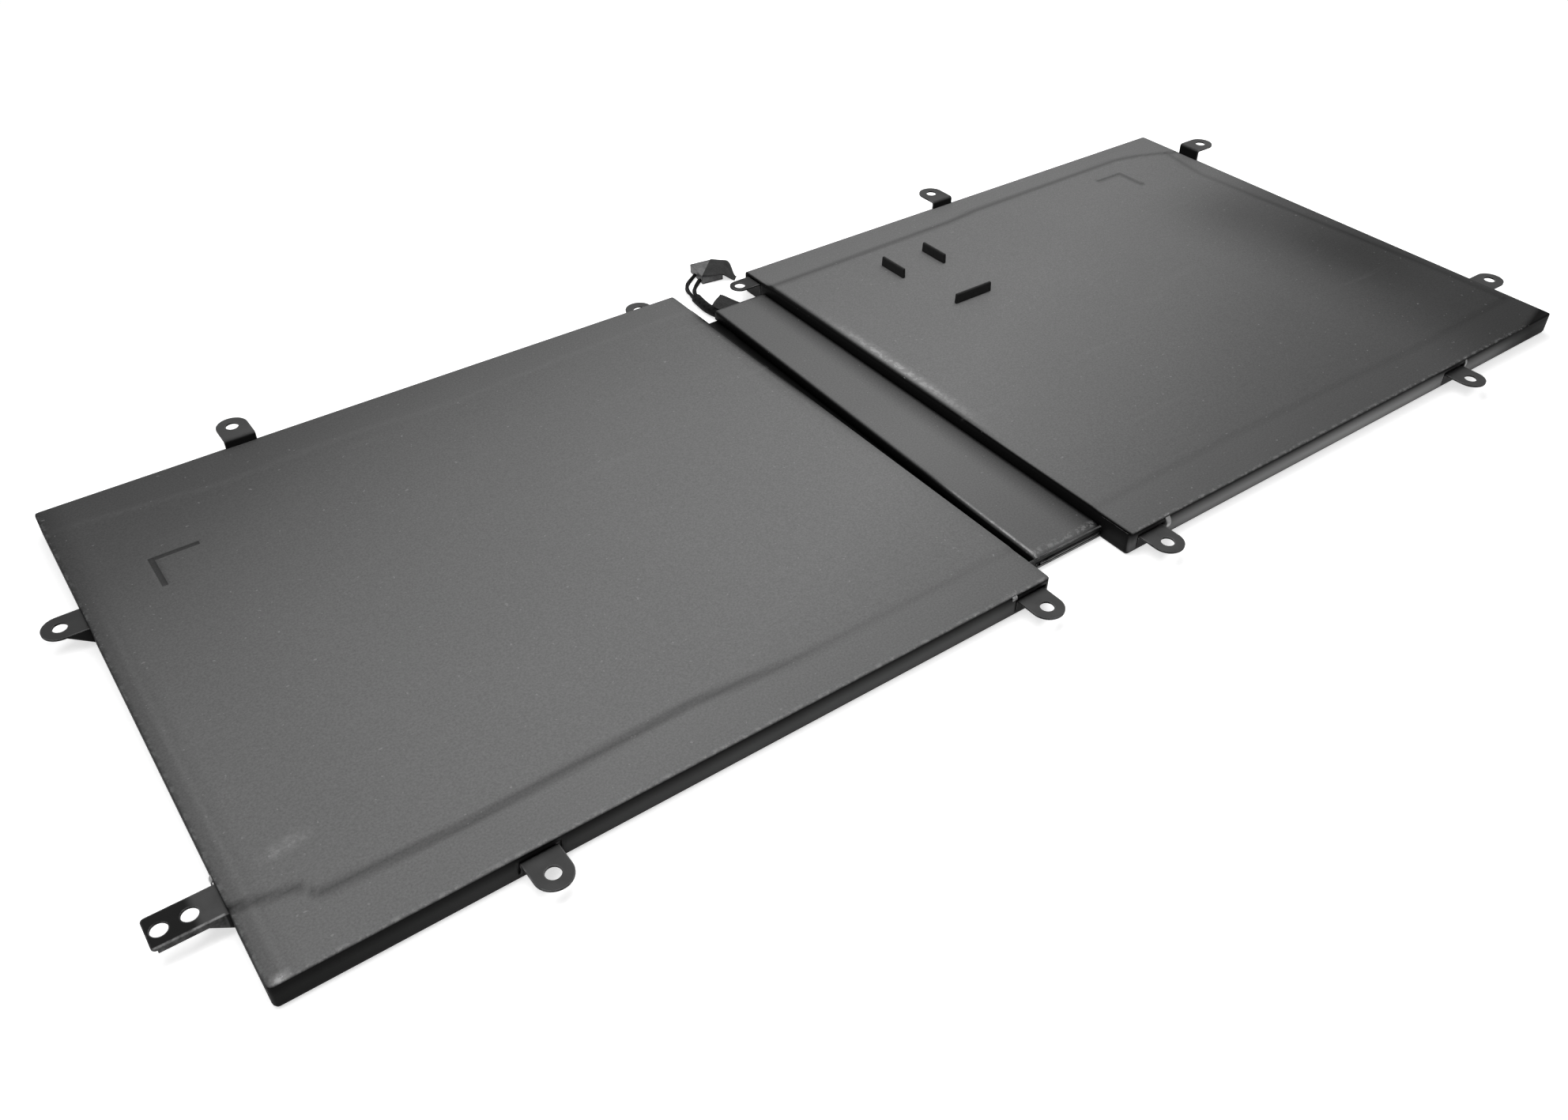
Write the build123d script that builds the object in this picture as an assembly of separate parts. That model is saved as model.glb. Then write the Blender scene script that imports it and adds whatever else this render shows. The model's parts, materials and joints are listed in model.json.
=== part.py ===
"""Flat two-wing laptop battery: a stamped frame with bent-out screw tabs, film covers,
four pouch cells, a protection board in the low bridge and a short lead with its plug."""

from build123d import *
import os
from math import radians, tan

# Overall sizes in millimetres, measured from the front left corner of the left wing
PACK_LENGTH = 344.0
PACK_DEPTH = 143.0
PACK_HEIGHT = 5.9
LEFT_WING_WIDTH = 162.0
BRIDGE_WIDTH = 23.0
BRIDGE_HEIGHT = 3.4
FRONT_NOTCH = 7.6
REAR_NOTCH = 9.5
GROOVE_FRONT = 3.9
GROOVE_REAR = 6.9

# Sheet, film and folds
SHEET = 0.4
FILM = 0.15
CORNER_RADIUS = 1.0
FOLD_RADIUS = 0.7
BEND_RADIUS = 0.3
SKIRT_BOTTOM = 0.9
WINDOW_LIP = 1.2
FIT = 0.1
BEND_CLEARANCE = 0.35

# Screw tabs: height of the top face below (-) or above (+) the top of the wings
TAB_WIDTH = 7.2
TAB_HOLE_OUT = 4.8
TAB_HOLE = 2.9
PUNCH_LENGTH = 1.6
TAB_RELIEF = 0.6
TAB_SLOT_BOTTOM = 1.3
FLUSH_TAB = -0.6
LOW_TAB = -2.0
DEEP_TAB = -3.4
RAISED_TAB = 2.0
HIGH_TAB = 3.0
GUSSET_OUT = 4.4
GUSSET_DROP = 3.8
NOTCH_TAB_WIDTH = 5.4

# Places of the tabs along the edges
FRONT_TAB_LEFT = 45.5
FRONT_TAB_TO_GROOVE = 5.3
FRONT_TAB_FROM_BRIDGE = 6.9
FRONT_TAB_RIGHT = 42.5
REAR_TAB_LEFT = 45.0
REAR_TAB_TO_GROOVE = 8.2
REAR_TAB_RIGHT = 87.5
LEFT_TAB_REAR = 40.6
RIGHT_TAB_FRONT = 20.7
RIGHT_TAB_REAR = 19.3
NOTCH_TAB_REAR = 4.7

# Two-hole bracket on the left edge
BRACKET_FRONT = 20.7
BRACKET_WIDTH = 7.0
BRACKET_REACH = 12.1
BRACKET_HOLE_OUT = 5.2
BRACKET_HOLE_PITCH = 4.8
BRACKET_LIP = 1.1
BRACKET_CORNER = 0.8

# Cells and what holds them
LEFT_CELL_SIDE = 4.5
RIGHT_CELL_SIDE = 3.0
CELL_GAP = 1.0
CELL_MARGIN = 12.0
TERRACE_MARGIN = 14.0
CELL_CORNER = 1.6
CELL_EDGE = 0.7
SEAM_FOLD = 0.45
SEAM_HEIGHT = 3.2
ADHESIVE = 0.2
ADHESIVE_INSET = 9.0
TERRACE_INSET = 2.0
TERRACE_THICKNESS = 0.3
CELL_TAB_WIDTH = 7.0
CELL_TAB_PITCH = 40.0
CELL_TAB_THICKNESS = 0.1
PANEL_STEP = 0.15
PANEL_JOG = 12.0
PANEL_JOG_DEPTH = 1.8
PANEL_RIGHT_MARGIN = 2.4

# Margin strips, rails and foams
STRIP_PLATE = 0.8
STRIP_LEG = 1.0
RAIL_THICKNESS = 2.4
FOAM_CLEARANCE = 0.3

# Boards
INSULATOR = 0.2
BOARD = 0.6
LINK_BOARD_WIDTH = 4.6
WELD_PAD = 0.15
WELD_PAD_WIDTH = 6.0
WELD_PAD_LENGTH = 3.6
NECK_WIDTH = 3.4
NECK_GAP = 0.3
NECK_TURN = 1.9
BOARD_GAP = 0.3
JOINT_PLATE_LENGTH = 3.4
JOINT_PLATE_WIDTH = 2.4
GROOVE_TAPE_OVERHANG = 0.6
MAIN_BOARD_GAP = 0.6
THERMISTOR = 0.8
THERMISTOR_LENGTH = 4.0

# Parts on the protection board as width, length and height, and their places along it
FUSE_SIZE = (5.0, 9.0, 1.5)
FUSE_Y = 22.0
SHUNT_SIZE = (6.4, 3.2, 0.7)
SHUNT_Y = 36.0
SWITCH_SIZE = (5.0, 6.0, 1.0)
SWITCH_Y = 44.5
SWITCH_PITCH = 8.0
SWITCH_COUNT = 4
GAUGE_SIZE = (6.0, 6.0, 0.9)
GAUGE_FROM_REAR = 50.0
PROTECTOR_SIZE = (4.0, 4.0, 0.9)
PROTECTOR_FROM_REAR = 40.0
CAPACITOR_SIZE = (0.8, 1.6, 0.8)
CAPACITOR_Y = 46.0
CAPACITOR_COUNT = 8
RESISTOR_SIZE = (0.8, 1.6, 0.5)
RESISTOR_FROM_REAR = 58.0
RESISTOR_COUNT = 10
SMALL_PART_PITCH = 3.0

# Shares of the board's width, from its left edge to the middle of each column of components
SWITCH_COLUMN = 0.3
CAPACITOR_COLUMN = 0.8
RESISTOR_COLUMN = 0.15
FUSE_COLUMN = 0.5
CHIP_COLUMN = 0.55

# Raised corner mark, sunk corner mark and the ribs on the right wing
MARK_ARM = 10.5
MARK_WIDTH = 1.2
MARK_RELIEF = 0.08
LEFT_MARK_FROM_LEFT = 15.2
LEFT_MARK_FROM_REAR = 30.2
RIGHT_MARK_FROM_RIGHT = 27.0
RIGHT_MARK_FROM_REAR = 14.6
RIB_HEIGHT = 2.8
RIB_THICKNESS = 1.0
SHORT_RIB = 9.4
LONG_RIB = 12.4
FIRST_RIB_FROM_BRIDGE = 33.4
RIB_PITCH = 14.6
SHORT_RIB_FROM_REAR = 24.0
LONG_RIB_FROM_REAR = 47.4
LONG_RIB_FROM_BRIDGE = 41.6
RIB_SOFTENING = 0.25

# Lead: two wire bundles in one sleeve, on to the plug and its folded tape, with points
# measured from the left wing's rear right corner
BUNDLE = 0.95
SLEEVE_BORE = 2.3
SLEEVE_WALL = 0.2
BUNDLE_SPACING = 1.1
LEAD_LINE = [
    (10.6, -20.0, 1.83),
    (9.4, -11.8, 1.83),
    (7.8, -5.8, 1.6),
    (8.2, -0.2, 1.4),
    (8.9, 4.2, 1.36),
]
LEFT_END = [(9.3, 8.0, 0.95), (11.1, 11.0, 0.7), (13.6, 12.9, 0.8), (15.85, 14.1, 1.1)]
RIGHT_END = [(11.0, 7.1, 0.9), (13.0, 9.3, 0.7), (15.4, 10.9, 1.1)]
SLEEVE_START_SHARE = 0.4
SLEEVE_END_SHARE = 0.5
BEND_SHARE = 0.45
LEAD_ROOM = 9.0
LEAD_PORT_WIDTH = 8.6
SOLDER_LENGTH = 1.6
PLUG_LENGTH = 6.4
PLUG_WIDTH = 8.2
PLUG_HEIGHT = 2.5
PLUG_TURN = -8.0
PLUG_CORNER = (15.6, 9.9)
PLUG_CHAMFER = 0.4
PLUG_SOCKET_WIDTH = 7.0
PLUG_SOCKET_HEIGHT = 1.3
PLUG_SOCKET_DEPTH = 3.0
CONTACT_COUNT = 8
CONTACT_PITCH = 0.8
CONTACT_WIDTH = 0.35
CONTACT_THICKNESS = 0.2
TAPE = 0.15
TAPE_WIDTH = 10.2
TAPE_HOLD = 5.0
TAPE_DROP_RUN = 3.4
TAPE_TURN = -46.6
ROOT_TAPE_REACH = 4.8
ROOT_TAPE_HIDDEN = 3.5
ROOT_TAPE_GAP = 0.2
ROOT_TAPE_TAPER = 1.6

# Worked out from the sizes above
RIGHT_WING_START = LEFT_WING_WIDTH + BRIDGE_WIDTH
REAR_OF_BRIDGE = PACK_DEPTH - REAR_NOTCH
TAB_REACH = TAB_HOLE_OUT + TAB_WIDTH / 2
CENTRE_X = (PACK_LENGTH + TAB_REACH - BRACKET_REACH) / 2
CENTRE_Y = PACK_DEPTH / 2
COVER_UNDERSIDE = PACK_HEIGHT - FILM
MARGIN_TOP = PACK_HEIGHT - PANEL_STEP
WALL_TOP = MARGIN_TOP - FILM
BRIDGE_WALL_TOP = BRIDGE_HEIGHT - FILM
BOARD_BOTTOM = SHEET + INSULATOR
BOARD_TOP = BOARD_BOTTOM + BOARD
PAD_TOP = BOARD_TOP + WELD_PAD
CELL_BOTTOM = SHEET + ADHESIVE
INNER = FILM + SHEET


def behind_left_wing(points):
    """Places of points that are measured from the left wing's rear right corner."""
    return [(LEFT_WING_WIDTH + x, PACK_DEPTH + y, z) for x, y, z in points]


LEAD_ROUTE = behind_left_wing(LEAD_LINE)
LEFT_TAIL = behind_left_wing(LEFT_END)
RIGHT_TAIL = behind_left_wing(RIGHT_END)


def block(x_low, x_high, y_low, y_high, z_low, z_high):
    """Box between two corners."""
    size = (x_high - x_low, y_high - y_low, z_high - z_low)
    centre = ((x_low + x_high) / 2, (y_low + y_high) / 2, (z_low + z_high) / 2)
    return Pos(*centre) * Box(*size)


def prism(outline, z_low, z_high):
    """Upright prism over a closed outline of points."""
    face = make_face(Polyline(*outline, close=True))
    return Pos(0, 0, z_low) * extrude(face, z_high - z_low)


def round_uprights(solid, radius):
    """Round every upright edge of a prism."""
    return fillet(solid.edges().filter_by(Axis.Z), radius)


def round_corners(solid, radius):
    """Round the upright edges at the front and rear corners, not those inside a notch."""
    uprights = solid.edges().filter_by(Axis.Z)
    front = uprights.filter_by_position(Axis.Y, 0, FRONT_NOTCH / 2)
    rear = uprights.filter_by_position(Axis.Y, PACK_DEPTH - REAR_NOTCH / 2, PACK_DEPTH)
    return fillet(front + rear, radius)


def frame_outline(inset):
    """Outline of the frame, drawn in by an inset, with its two notches at the bridge."""
    left = inset
    right = PACK_LENGTH - inset
    front = inset
    rear = PACK_DEPTH - inset
    notch_left = LEFT_WING_WIDTH - inset
    notch_right = RIGHT_WING_START + inset
    notch_front = FRONT_NOTCH + inset
    notch_rear = REAR_OF_BRIDGE - inset
    return [
        (left, front),
        (notch_left, front),
        (notch_left, notch_front),
        (notch_right, notch_front),
        (notch_right, front),
        (right, front),
        (right, rear),
        (notch_right, rear),
        (notch_right, notch_rear),
        (notch_left, notch_rear),
        (notch_left, rear),
        (left, rear),
    ]


def tab_bend(width, reach, foot, top):
    """Strip that stands on the wall at y = 0 to SHEET and bends out to y = -reach."""
    profile = [
        (0, foot),
        (SHEET, foot),
        (SHEET, top),
        (-reach, top),
        (-reach, top - SHEET),
        (0, top - SHEET),
    ]
    face = make_face(Polyline(*[(0, y, z) for y, z in profile], close=True))
    outside = face.vertices().sort_by_distance((0, SHEET, top))[0]
    face = fillet(outside, BEND_RADIUS + SHEET)
    inside = face.vertices().sort_by_distance((0, 0, top - SHEET))[0]
    face = fillet(inside, BEND_RADIUS)
    return extrude(face, width / 2, dir=(1, 0, 0), both=True)


def gusset(width, out, drop, top):
    """Web folded down from one long side of a tab, deepest at the wall."""
    side = width / 2
    profile = [(0, top - SHEET), (-out, top - SHEET), (0, top - drop)]
    face = make_face(Polyline(*[(side, y, z) for y, z in profile], close=True))
    return extrude(face, SHEET, dir=(-1, 0, 0))


def screw_tab(height, width=TAB_WIDTH, webbed=False):
    """Round-ended tab with its screw hole, pointing to -Y, at a height above the wing top."""
    top = PACK_HEIGHT + height
    reach = TAB_HOLE_OUT + width / 2
    foot = WALL_TOP if top > WALL_TOP else TAB_SLOT_BOTTOM
    outline = Rectangle(width, TAB_HOLE_OUT + SHEET, align=(Align.CENTER, Align.MIN))
    outline = Pos(0, -TAB_HOLE_OUT) * outline + Pos(0, -TAB_HOLE_OUT) * Circle(width / 2)
    tab = tab_bend(width, reach, foot, top) & extrude(outline, top)
    tab -= Pos(0, -TAB_HOLE_OUT, top) * Cylinder(TAB_HOLE / 2, PUNCH_LENGTH)
    if webbed:
        tab += gusset(width, GUSSET_OUT, GUSSET_DROP, top)
    return tab


def bracket():
    """Two-hole bracket with a lip turned down along its front side and a web at the wall."""
    top = PACK_HEIGHT + FLUSH_TAB
    side = BRACKET_WIDTH / 2
    outline = Pos(0, -BRACKET_REACH) * Rectangle(
        BRACKET_WIDTH, BRACKET_REACH + SHEET, align=(Align.CENTER, Align.MIN)
    )
    corners = outline.vertices().group_by(Axis.Y)[0]
    outline = fillet(corners, BRACKET_CORNER)
    plate = tab_bend(BRACKET_WIDTH, BRACKET_REACH, TAB_SLOT_BOTTOM, top)
    plate &= extrude(outline, top)
    lip_end = -BRACKET_REACH + BRACKET_CORNER
    plate += block(side - SHEET, side, lip_end, -FILM - FIT, top - BRACKET_LIP, top - SHEET)
    plate += gusset(BRACKET_WIDTH, GUSSET_OUT, GUSSET_DROP, top)
    for step in (0, 1):
        out = BRACKET_HOLE_OUT + step * BRACKET_HOLE_PITCH
        plate -= Pos(0, -out, top) * Cylinder(TAB_HOLE / 2, PUNCH_LENGTH)
    return plate


def tab_places():
    """Every tab as (place of its wall, height above the wing top, width, webbed)."""
    front = 0
    rear = 180
    left = -90
    right = 90
    front_y = FILM
    rear_y = PACK_DEPTH - FILM
    left_x = FILM
    right_x = PACK_LENGTH - FILM
    notch_x = RIGHT_WING_START + FILM
    notch_y = PACK_DEPTH - NOTCH_TAB_REAR
    bridge_left = LEFT_WING_WIDTH - FRONT_TAB_TO_GROOVE
    bridge_right = RIGHT_WING_START + FRONT_TAB_FROM_BRIDGE
    deep_x = LEFT_WING_WIDTH - REAR_TAB_TO_GROOVE
    raised_x = PACK_LENGTH - REAR_TAB_RIGHT
    rows = [
        (FRONT_TAB_LEFT, front_y, front, LOW_TAB, TAB_WIDTH, False),
        (bridge_left, front_y, front, LOW_TAB, TAB_WIDTH, False),
        (bridge_right, front_y, front, LOW_TAB, TAB_WIDTH, False),
        (PACK_LENGTH - FRONT_TAB_RIGHT, front_y, front, LOW_TAB, TAB_WIDTH, False),
        (REAR_TAB_LEFT, rear_y, rear, RAISED_TAB, TAB_WIDTH, False),
        (deep_x, rear_y, rear, DEEP_TAB, TAB_WIDTH, False),
        (raised_x, rear_y, rear, RAISED_TAB, TAB_WIDTH, False),
        (left_x, PACK_DEPTH - LEFT_TAB_REAR, left, FLUSH_TAB, TAB_WIDTH, True),
        (right_x, RIGHT_TAB_FRONT, right, FLUSH_TAB, TAB_WIDTH, False),
        (right_x, PACK_DEPTH - RIGHT_TAB_REAR, right, HIGH_TAB, TAB_WIDTH, False),
        (notch_x, notch_y, left, FLUSH_TAB, NOTCH_TAB_WIDTH, False),
    ]
    return [
        (Pos(x, y, 0) * Rot(0, 0, turn), height, width, webbed)
        for x, y, turn, height, width, webbed in rows
    ]


def bracket_place():
    """Place of the bracket on the left wall."""
    return Pos(FILM, BRACKET_FRONT, 0) * Rot(0, 0, -90)


def wall_window(width):
    """What is cut from the wall round a tab that leaves it below its top."""
    side = width / 2 + TAB_RELIEF
    return block(-side, side, -SHEET, 2 * SHEET, TAB_SLOT_BOTTOM, PACK_HEIGHT)


def pack_frame():
    """Stamped frame in one sheet: floor, folded walls, notches, tabs and bracket."""
    outside = round_corners(prism(frame_outline(FILM), 0, WALL_TOP), CORNER_RADIUS - FILM)
    outside = fillet(outside.faces().sort_by(Axis.Z)[0].outer_wire().edges(), FOLD_RADIUS)
    inside = prism(frame_outline(INNER), SHEET, PACK_HEIGHT)
    inside = round_corners(inside, CORNER_RADIUS - FILM - SHEET)
    inside = fillet(
        inside.faces().sort_by(Axis.Z)[0].outer_wire().edges(), FOLD_RADIUS - SHEET
    )
    frame = outside - inside
    low_left = LEFT_WING_WIDTH - FILM
    low_right = RIGHT_WING_START + FILM
    frame -= block(low_left, low_right, 0, PACK_DEPTH, BRIDGE_WALL_TOP, PACK_HEIGHT)
    port_right = LEFT_WING_WIDTH + GROOVE_REAR + LEAD_PORT_WIDTH
    port_front = REAR_OF_BRIDGE - 2 * INNER
    frame -= block(low_left, port_right, port_front, PACK_DEPTH, SHEET, PACK_HEIGHT)
    for place, height, width, webbed in tab_places():
        if PACK_HEIGHT + height <= WALL_TOP:
            frame -= place * wall_window(width)
        frame += place * screw_tab(height, width, webbed)
    frame -= bracket_place() * wall_window(BRACKET_WIDTH)
    frame += bracket_place() * bracket()
    return frame


def left_panel(inset, z_low, z_high):
    """Raised middle of the left film, with the jog at its front left corner."""
    front = CELL_MARGIN + inset
    rear = PACK_DEPTH - CELL_MARGIN - inset
    left = inset
    right = LEFT_WING_WIDTH - inset
    outline = [
        (left, front + PANEL_JOG_DEPTH),
        (PANEL_JOG + inset, front + PANEL_JOG_DEPTH),
        (PANEL_JOG + inset, front),
        (right, front),
        (right, rear),
        (left, rear),
    ]
    return prism(outline, z_low, z_high)


def right_panel(inset, z_low, z_high):
    """Raised middle of the right film, which stops short of the right wall."""
    front = CELL_MARGIN + inset
    rear = PACK_DEPTH - CELL_MARGIN - inset
    left = RIGHT_WING_START + inset
    right = PACK_LENGTH - PANEL_RIGHT_MARGIN - inset
    outline = [(left, front), (right, front), (right, rear), (left, rear)]
    return prism(outline, z_low, z_high)


def film_hood(x_low, x_high, panel):
    """Film over one wing: top, joggled panel and the skirts folded down round it."""
    hood = block(x_low, x_high, 0, PACK_DEPTH, SKIRT_BOTTOM, MARGIN_TOP)
    hood = round_uprights(hood, CORNER_RADIUS)
    hood += panel(0, MARGIN_TOP, PACK_HEIGHT)
    room = block(x_low + FILM, x_high - FILM, FILM, PACK_DEPTH - FILM, 0, WALL_TOP)
    room = round_uprights(room, CORNER_RADIUS - FILM)
    room += panel(FILM, WALL_TOP, COVER_UNDERSIDE)
    return hood - room


def film_windows():
    """What is cut from the films round the tabs and the bracket."""
    cuts = []
    rows = tab_places() + [(bracket_place(), FLUSH_TAB, BRACKET_WIDTH, True)]
    for place, height, width, _ in rows:
        side = width / 2 + TAB_RELIEF
        if PACK_HEIGHT + height > WALL_TOP:
            cut = block(-side, side, 0, SHEET + FIT, WALL_TOP - FIT, PACK_HEIGHT)
        else:
            lip = FILM if height == FLUSH_TAB else WINDOW_LIP
            cut = block(-side, side, -SHEET, 0, 0, MARGIN_TOP - lip)
        cuts.append(place * cut)
    return cuts


def corner_mark(x, y, x_sign, y_sign, z_low, z_high):
    """L-shaped mark with its corner at a point and its arms along two directions."""
    x_arm = sorted((x, x + x_sign * MARK_ARM))
    y_arm = sorted((y, y + y_sign * MARK_ARM))
    x_leg = sorted((x, x + x_sign * MARK_WIDTH))
    y_leg = sorted((y, y + y_sign * MARK_WIDTH))
    return block(*x_arm, *y_leg, z_low, z_high) + block(*x_leg, *y_arm, z_low, z_high)


def neck_lane(notch):
    """Near and far edge of the board neck that passes a notch wall into the bridge."""
    start = notch + INNER + NECK_GAP
    return start, start + NECK_WIDTH


def neck_window(notch, x_low, x_high):
    """Opening that the board neck passes through in a rail, a film or the bridge cover."""
    start, end = neck_lane(notch)
    return block(x_low, x_high, start - FIT, end + FIT, 0, PAD_TOP + FIT)


def turned(piece):
    """The same piece turned half round, for the right wing's far end."""
    return Pos(PACK_LENGTH, PACK_DEPTH, 0) * Rot(0, 0, 180) * piece


def left_cover_film():
    """Film over the left wing, with a sunk corner mark."""
    film = film_hood(0, LEFT_WING_WIDTH, left_panel)
    for cut in film_windows():
        film -= cut
    right = LEFT_WING_WIDTH + FIT
    film -= neck_window(FRONT_NOTCH, LEFT_WING_WIDTH - RAIL_THICKNESS, right)
    wall = FRONT_NOTCH + FILM
    film -= block(LEFT_WING_WIDTH - FILM, right, wall, wall + SHEET, 0, BRIDGE_WALL_TOP)
    mark_y = PACK_DEPTH - LEFT_MARK_FROM_REAR
    low = PACK_HEIGHT - MARK_RELIEF
    return film - corner_mark(LEFT_MARK_FROM_LEFT, mark_y, 1, -1, low, PACK_HEIGHT + FIT)


def right_cover_film():
    """Film over the right wing, cut back over the bridge, with a raised corner mark."""
    film = film_hood(RIGHT_WING_START, PACK_LENGTH, right_panel)
    for cut in film_windows():
        film -= cut
    left = RIGHT_WING_START - FIT
    film -= block(left, left + SHEET, FRONT_NOTCH, REAR_OF_BRIDGE, 0, BRIDGE_HEIGHT)
    mark_x = PACK_LENGTH - RIGHT_MARK_FROM_RIGHT
    mark_y = PACK_DEPTH - RIGHT_MARK_FROM_REAR
    top = PACK_HEIGHT + MARK_RELIEF
    return film + corner_mark(mark_x, mark_y, -1, -1, PACK_HEIGHT - FILM / 2, top)


def groove_edge(y, inset=0):
    """X of the bridge's slanting left side at a depth y."""
    share = (y - FRONT_NOTCH) / (REAR_OF_BRIDGE - FRONT_NOTCH)
    return LEFT_WING_WIDTH + GROOVE_FRONT + (GROOVE_REAR - GROOVE_FRONT) * share + inset


def bridge_outline(inset, rear_inset):
    """Outline of the bridge: slanting on the left, square at the right wing."""
    front = FRONT_NOTCH + inset
    rear = REAR_OF_BRIDGE - rear_inset
    right = RIGHT_WING_START + FILM
    return [
        (groove_edge(front, inset), front),
        (right, front),
        (right, rear),
        (groove_edge(rear, inset), rear),
    ]


def bridge_cover():
    """Low folded cover over the protection board, open at the rear for the lead."""
    cover = prism(bridge_outline(0, 0), SHEET, BRIDGE_HEIGHT)
    cover -= prism(bridge_outline(FILM, -FILM), 0, BRIDGE_WALL_TOP)
    skirt_rear = FRONT_NOTCH + FILM
    wall_rear = FRONT_NOTCH + INNER + BEND_CLEARANCE
    cover -= block(0, PACK_LENGTH, 0, skirt_rear, 0, SKIRT_BOTTOM)
    cover -= block(0, PACK_LENGTH, skirt_rear, wall_rear, 0, BRIDGE_WALL_TOP)
    return cover - neck_window(FRONT_NOTCH, LEFT_WING_WIDTH, groove_edge(PACK_DEPTH))


def cell_width(wing_width, side):
    """Width of each of the two cells that fill a wing between its side margins."""
    return (wing_width - 2 * side - CELL_GAP) / 2


def cell_sides(wing_width, side, place):
    """Left and right side of one of the two cells in a wing; place is 0 or 1."""
    width = cell_width(wing_width, side)
    left = side + place * (width + CELL_GAP)
    return left, left + width


def pouch_cell(cell):
    """Pouch cell with its terrace to the front: pocket, folded side seams and flange."""
    rear = PACK_DEPTH - CELL_MARGIN
    left = cell[0] + SEAM_FOLD
    right = cell[1] - SEAM_FOLD
    pocket = block(left, right, TERRACE_MARGIN, rear, CELL_BOTTOM, COVER_UNDERSIDE)
    pocket = round_uprights(pocket, CELL_CORNER)
    lids = pocket.faces().sort_by(Axis.Z)
    pocket = chamfer(lids[0].edges() + lids[-1].edges(), CELL_EDGE)
    seam_bottom = CELL_BOTTOM + CELL_EDGE
    seam_front = TERRACE_MARGIN + CELL_CORNER
    seam_rear = rear - CELL_CORNER
    seam_top = seam_bottom + SEAM_HEIGHT
    pocket += block(cell[0], left, seam_front, seam_rear, seam_bottom, seam_top)
    pocket += block(right, cell[1], seam_front, seam_rear, seam_bottom, seam_top)
    terrace_low = PAD_TOP - (TERRACE_THICKNESS - CELL_TAB_THICKNESS) / 2
    return pocket + block(
        left + TERRACE_INSET,
        right - TERRACE_INSET,
        terrace_front(),
        TERRACE_MARGIN + CELL_CORNER,
        terrace_low,
        terrace_low + TERRACE_THICKNESS,
    )


def board_front():
    """Front edge of the board that runs along a terrace, behind the margin strip's leg."""
    return INNER + BEND_CLEARANCE + STRIP_LEG + FIT


def terrace_front():
    """Front edge of a cell's terrace, just behind the board."""
    return board_front() + LINK_BOARD_WIDTH + BOARD_GAP


def pad_front():
    """Front edge of the weld pads on that board."""
    return board_front() + (LINK_BOARD_WIDTH - WELD_PAD_LENGTH) / 2


def terminal_middle(cell, side):
    """X of the middle of a cell's terminal; side is -1 or 1."""
    return (cell[0] + cell[1] + side * CELL_TAB_PITCH) / 2


def terminal_strip(cell, side):
    """Flat metal strip from a cell's terrace on to its weld pad."""
    middle = terminal_middle(cell, side)
    half = CELL_TAB_WIDTH / 2
    top = PAD_TOP + CELL_TAB_THICKNESS
    return block(middle - half, middle + half, pad_front(), terrace_front(), PAD_TOP, top)


def weld_pad(cell, side):
    """Nickel pad on the board, under a cell's terminal."""
    middle = terminal_middle(cell, side)
    half = WELD_PAD_WIDTH / 2
    rear = pad_front() + WELD_PAD_LENGTH
    return block(middle - half, middle + half, pad_front(), rear, BOARD_TOP, PAD_TOP)


def terrace_tape(cell):
    """Insulating tape laid over a cell's terrace and its two welded terminals."""
    half = CELL_TAB_WIDTH
    low = PAD_TOP + (TERRACE_THICKNESS + CELL_TAB_THICKNESS) / 2
    return block(
        terminal_middle(cell, -1) - half,
        terminal_middle(cell, 1) + half,
        pad_front(),
        TERRACE_MARGIN - FIT,
        low,
        low + TAPE,
    )


def adhesive_pad(cell):
    """Double-sided pad between a cell and the floor."""
    return block(
        cell[0] + ADHESIVE_INSET,
        cell[1] - ADHESIVE_INSET,
        TERRACE_MARGIN + ADHESIVE_INSET,
        PACK_DEPTH - CELL_MARGIN - ADHESIVE_INSET,
        SHEET,
        CELL_BOTTOM,
    )


def link_outline(wing_width, notch, far_side):
    """Outline of the board along a terrace, with the neck that runs into the bridge."""
    front = board_front()
    rear = front + LINK_BOARD_WIDTH
    near_end, far_end = neck_lane(notch)
    corner = wing_width - INNER - NECK_GAP
    return [
        (CELL_MARGIN, front),
        (corner, front),
        (corner, near_end),
        (far_side, near_end),
        (far_side, far_end),
        (corner - NECK_TURN, far_end),
        (corner - NECK_TURN, rear),
        (CELL_MARGIN, rear),
    ]


def margin_strip(wing_width):
    """Plastic angle in the front margin: a top that carries the film, and a leg."""
    left = INNER + BEND_CLEARANCE
    right = wing_width - FILM - RAIL_THICKNESS - FIT
    front = INNER + BEND_CLEARANCE
    leg = block(left, right, front, front + STRIP_LEG, SHEET, WALL_TOP)
    top = block(left, right, front, TERRACE_MARGIN - FIT, WALL_TOP - STRIP_PLATE, WALL_TOP)
    return leg + top


def rear_foam(wing_width):
    """Foam block in the margin at the far end from the terraces."""
    left = INNER + BEND_CLEARANCE
    right = wing_width - FILM - RAIL_THICKNESS - FIT
    rear = PACK_DEPTH - INNER - BEND_CLEARANCE
    front = PACK_DEPTH - CELL_MARGIN + FOAM_CLEARANCE
    return block(left, right, front, rear, SHEET, WALL_TOP)


def outer_foam(side):
    """Foam strip between the outer cell and the outer wall."""
    left = INNER + BEND_CLEARANCE
    right = side - FOAM_CLEARANCE
    front = TERRACE_MARGIN
    return block(left, right, front, PACK_DEPTH - CELL_MARGIN, SHEET, WALL_TOP)


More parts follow.
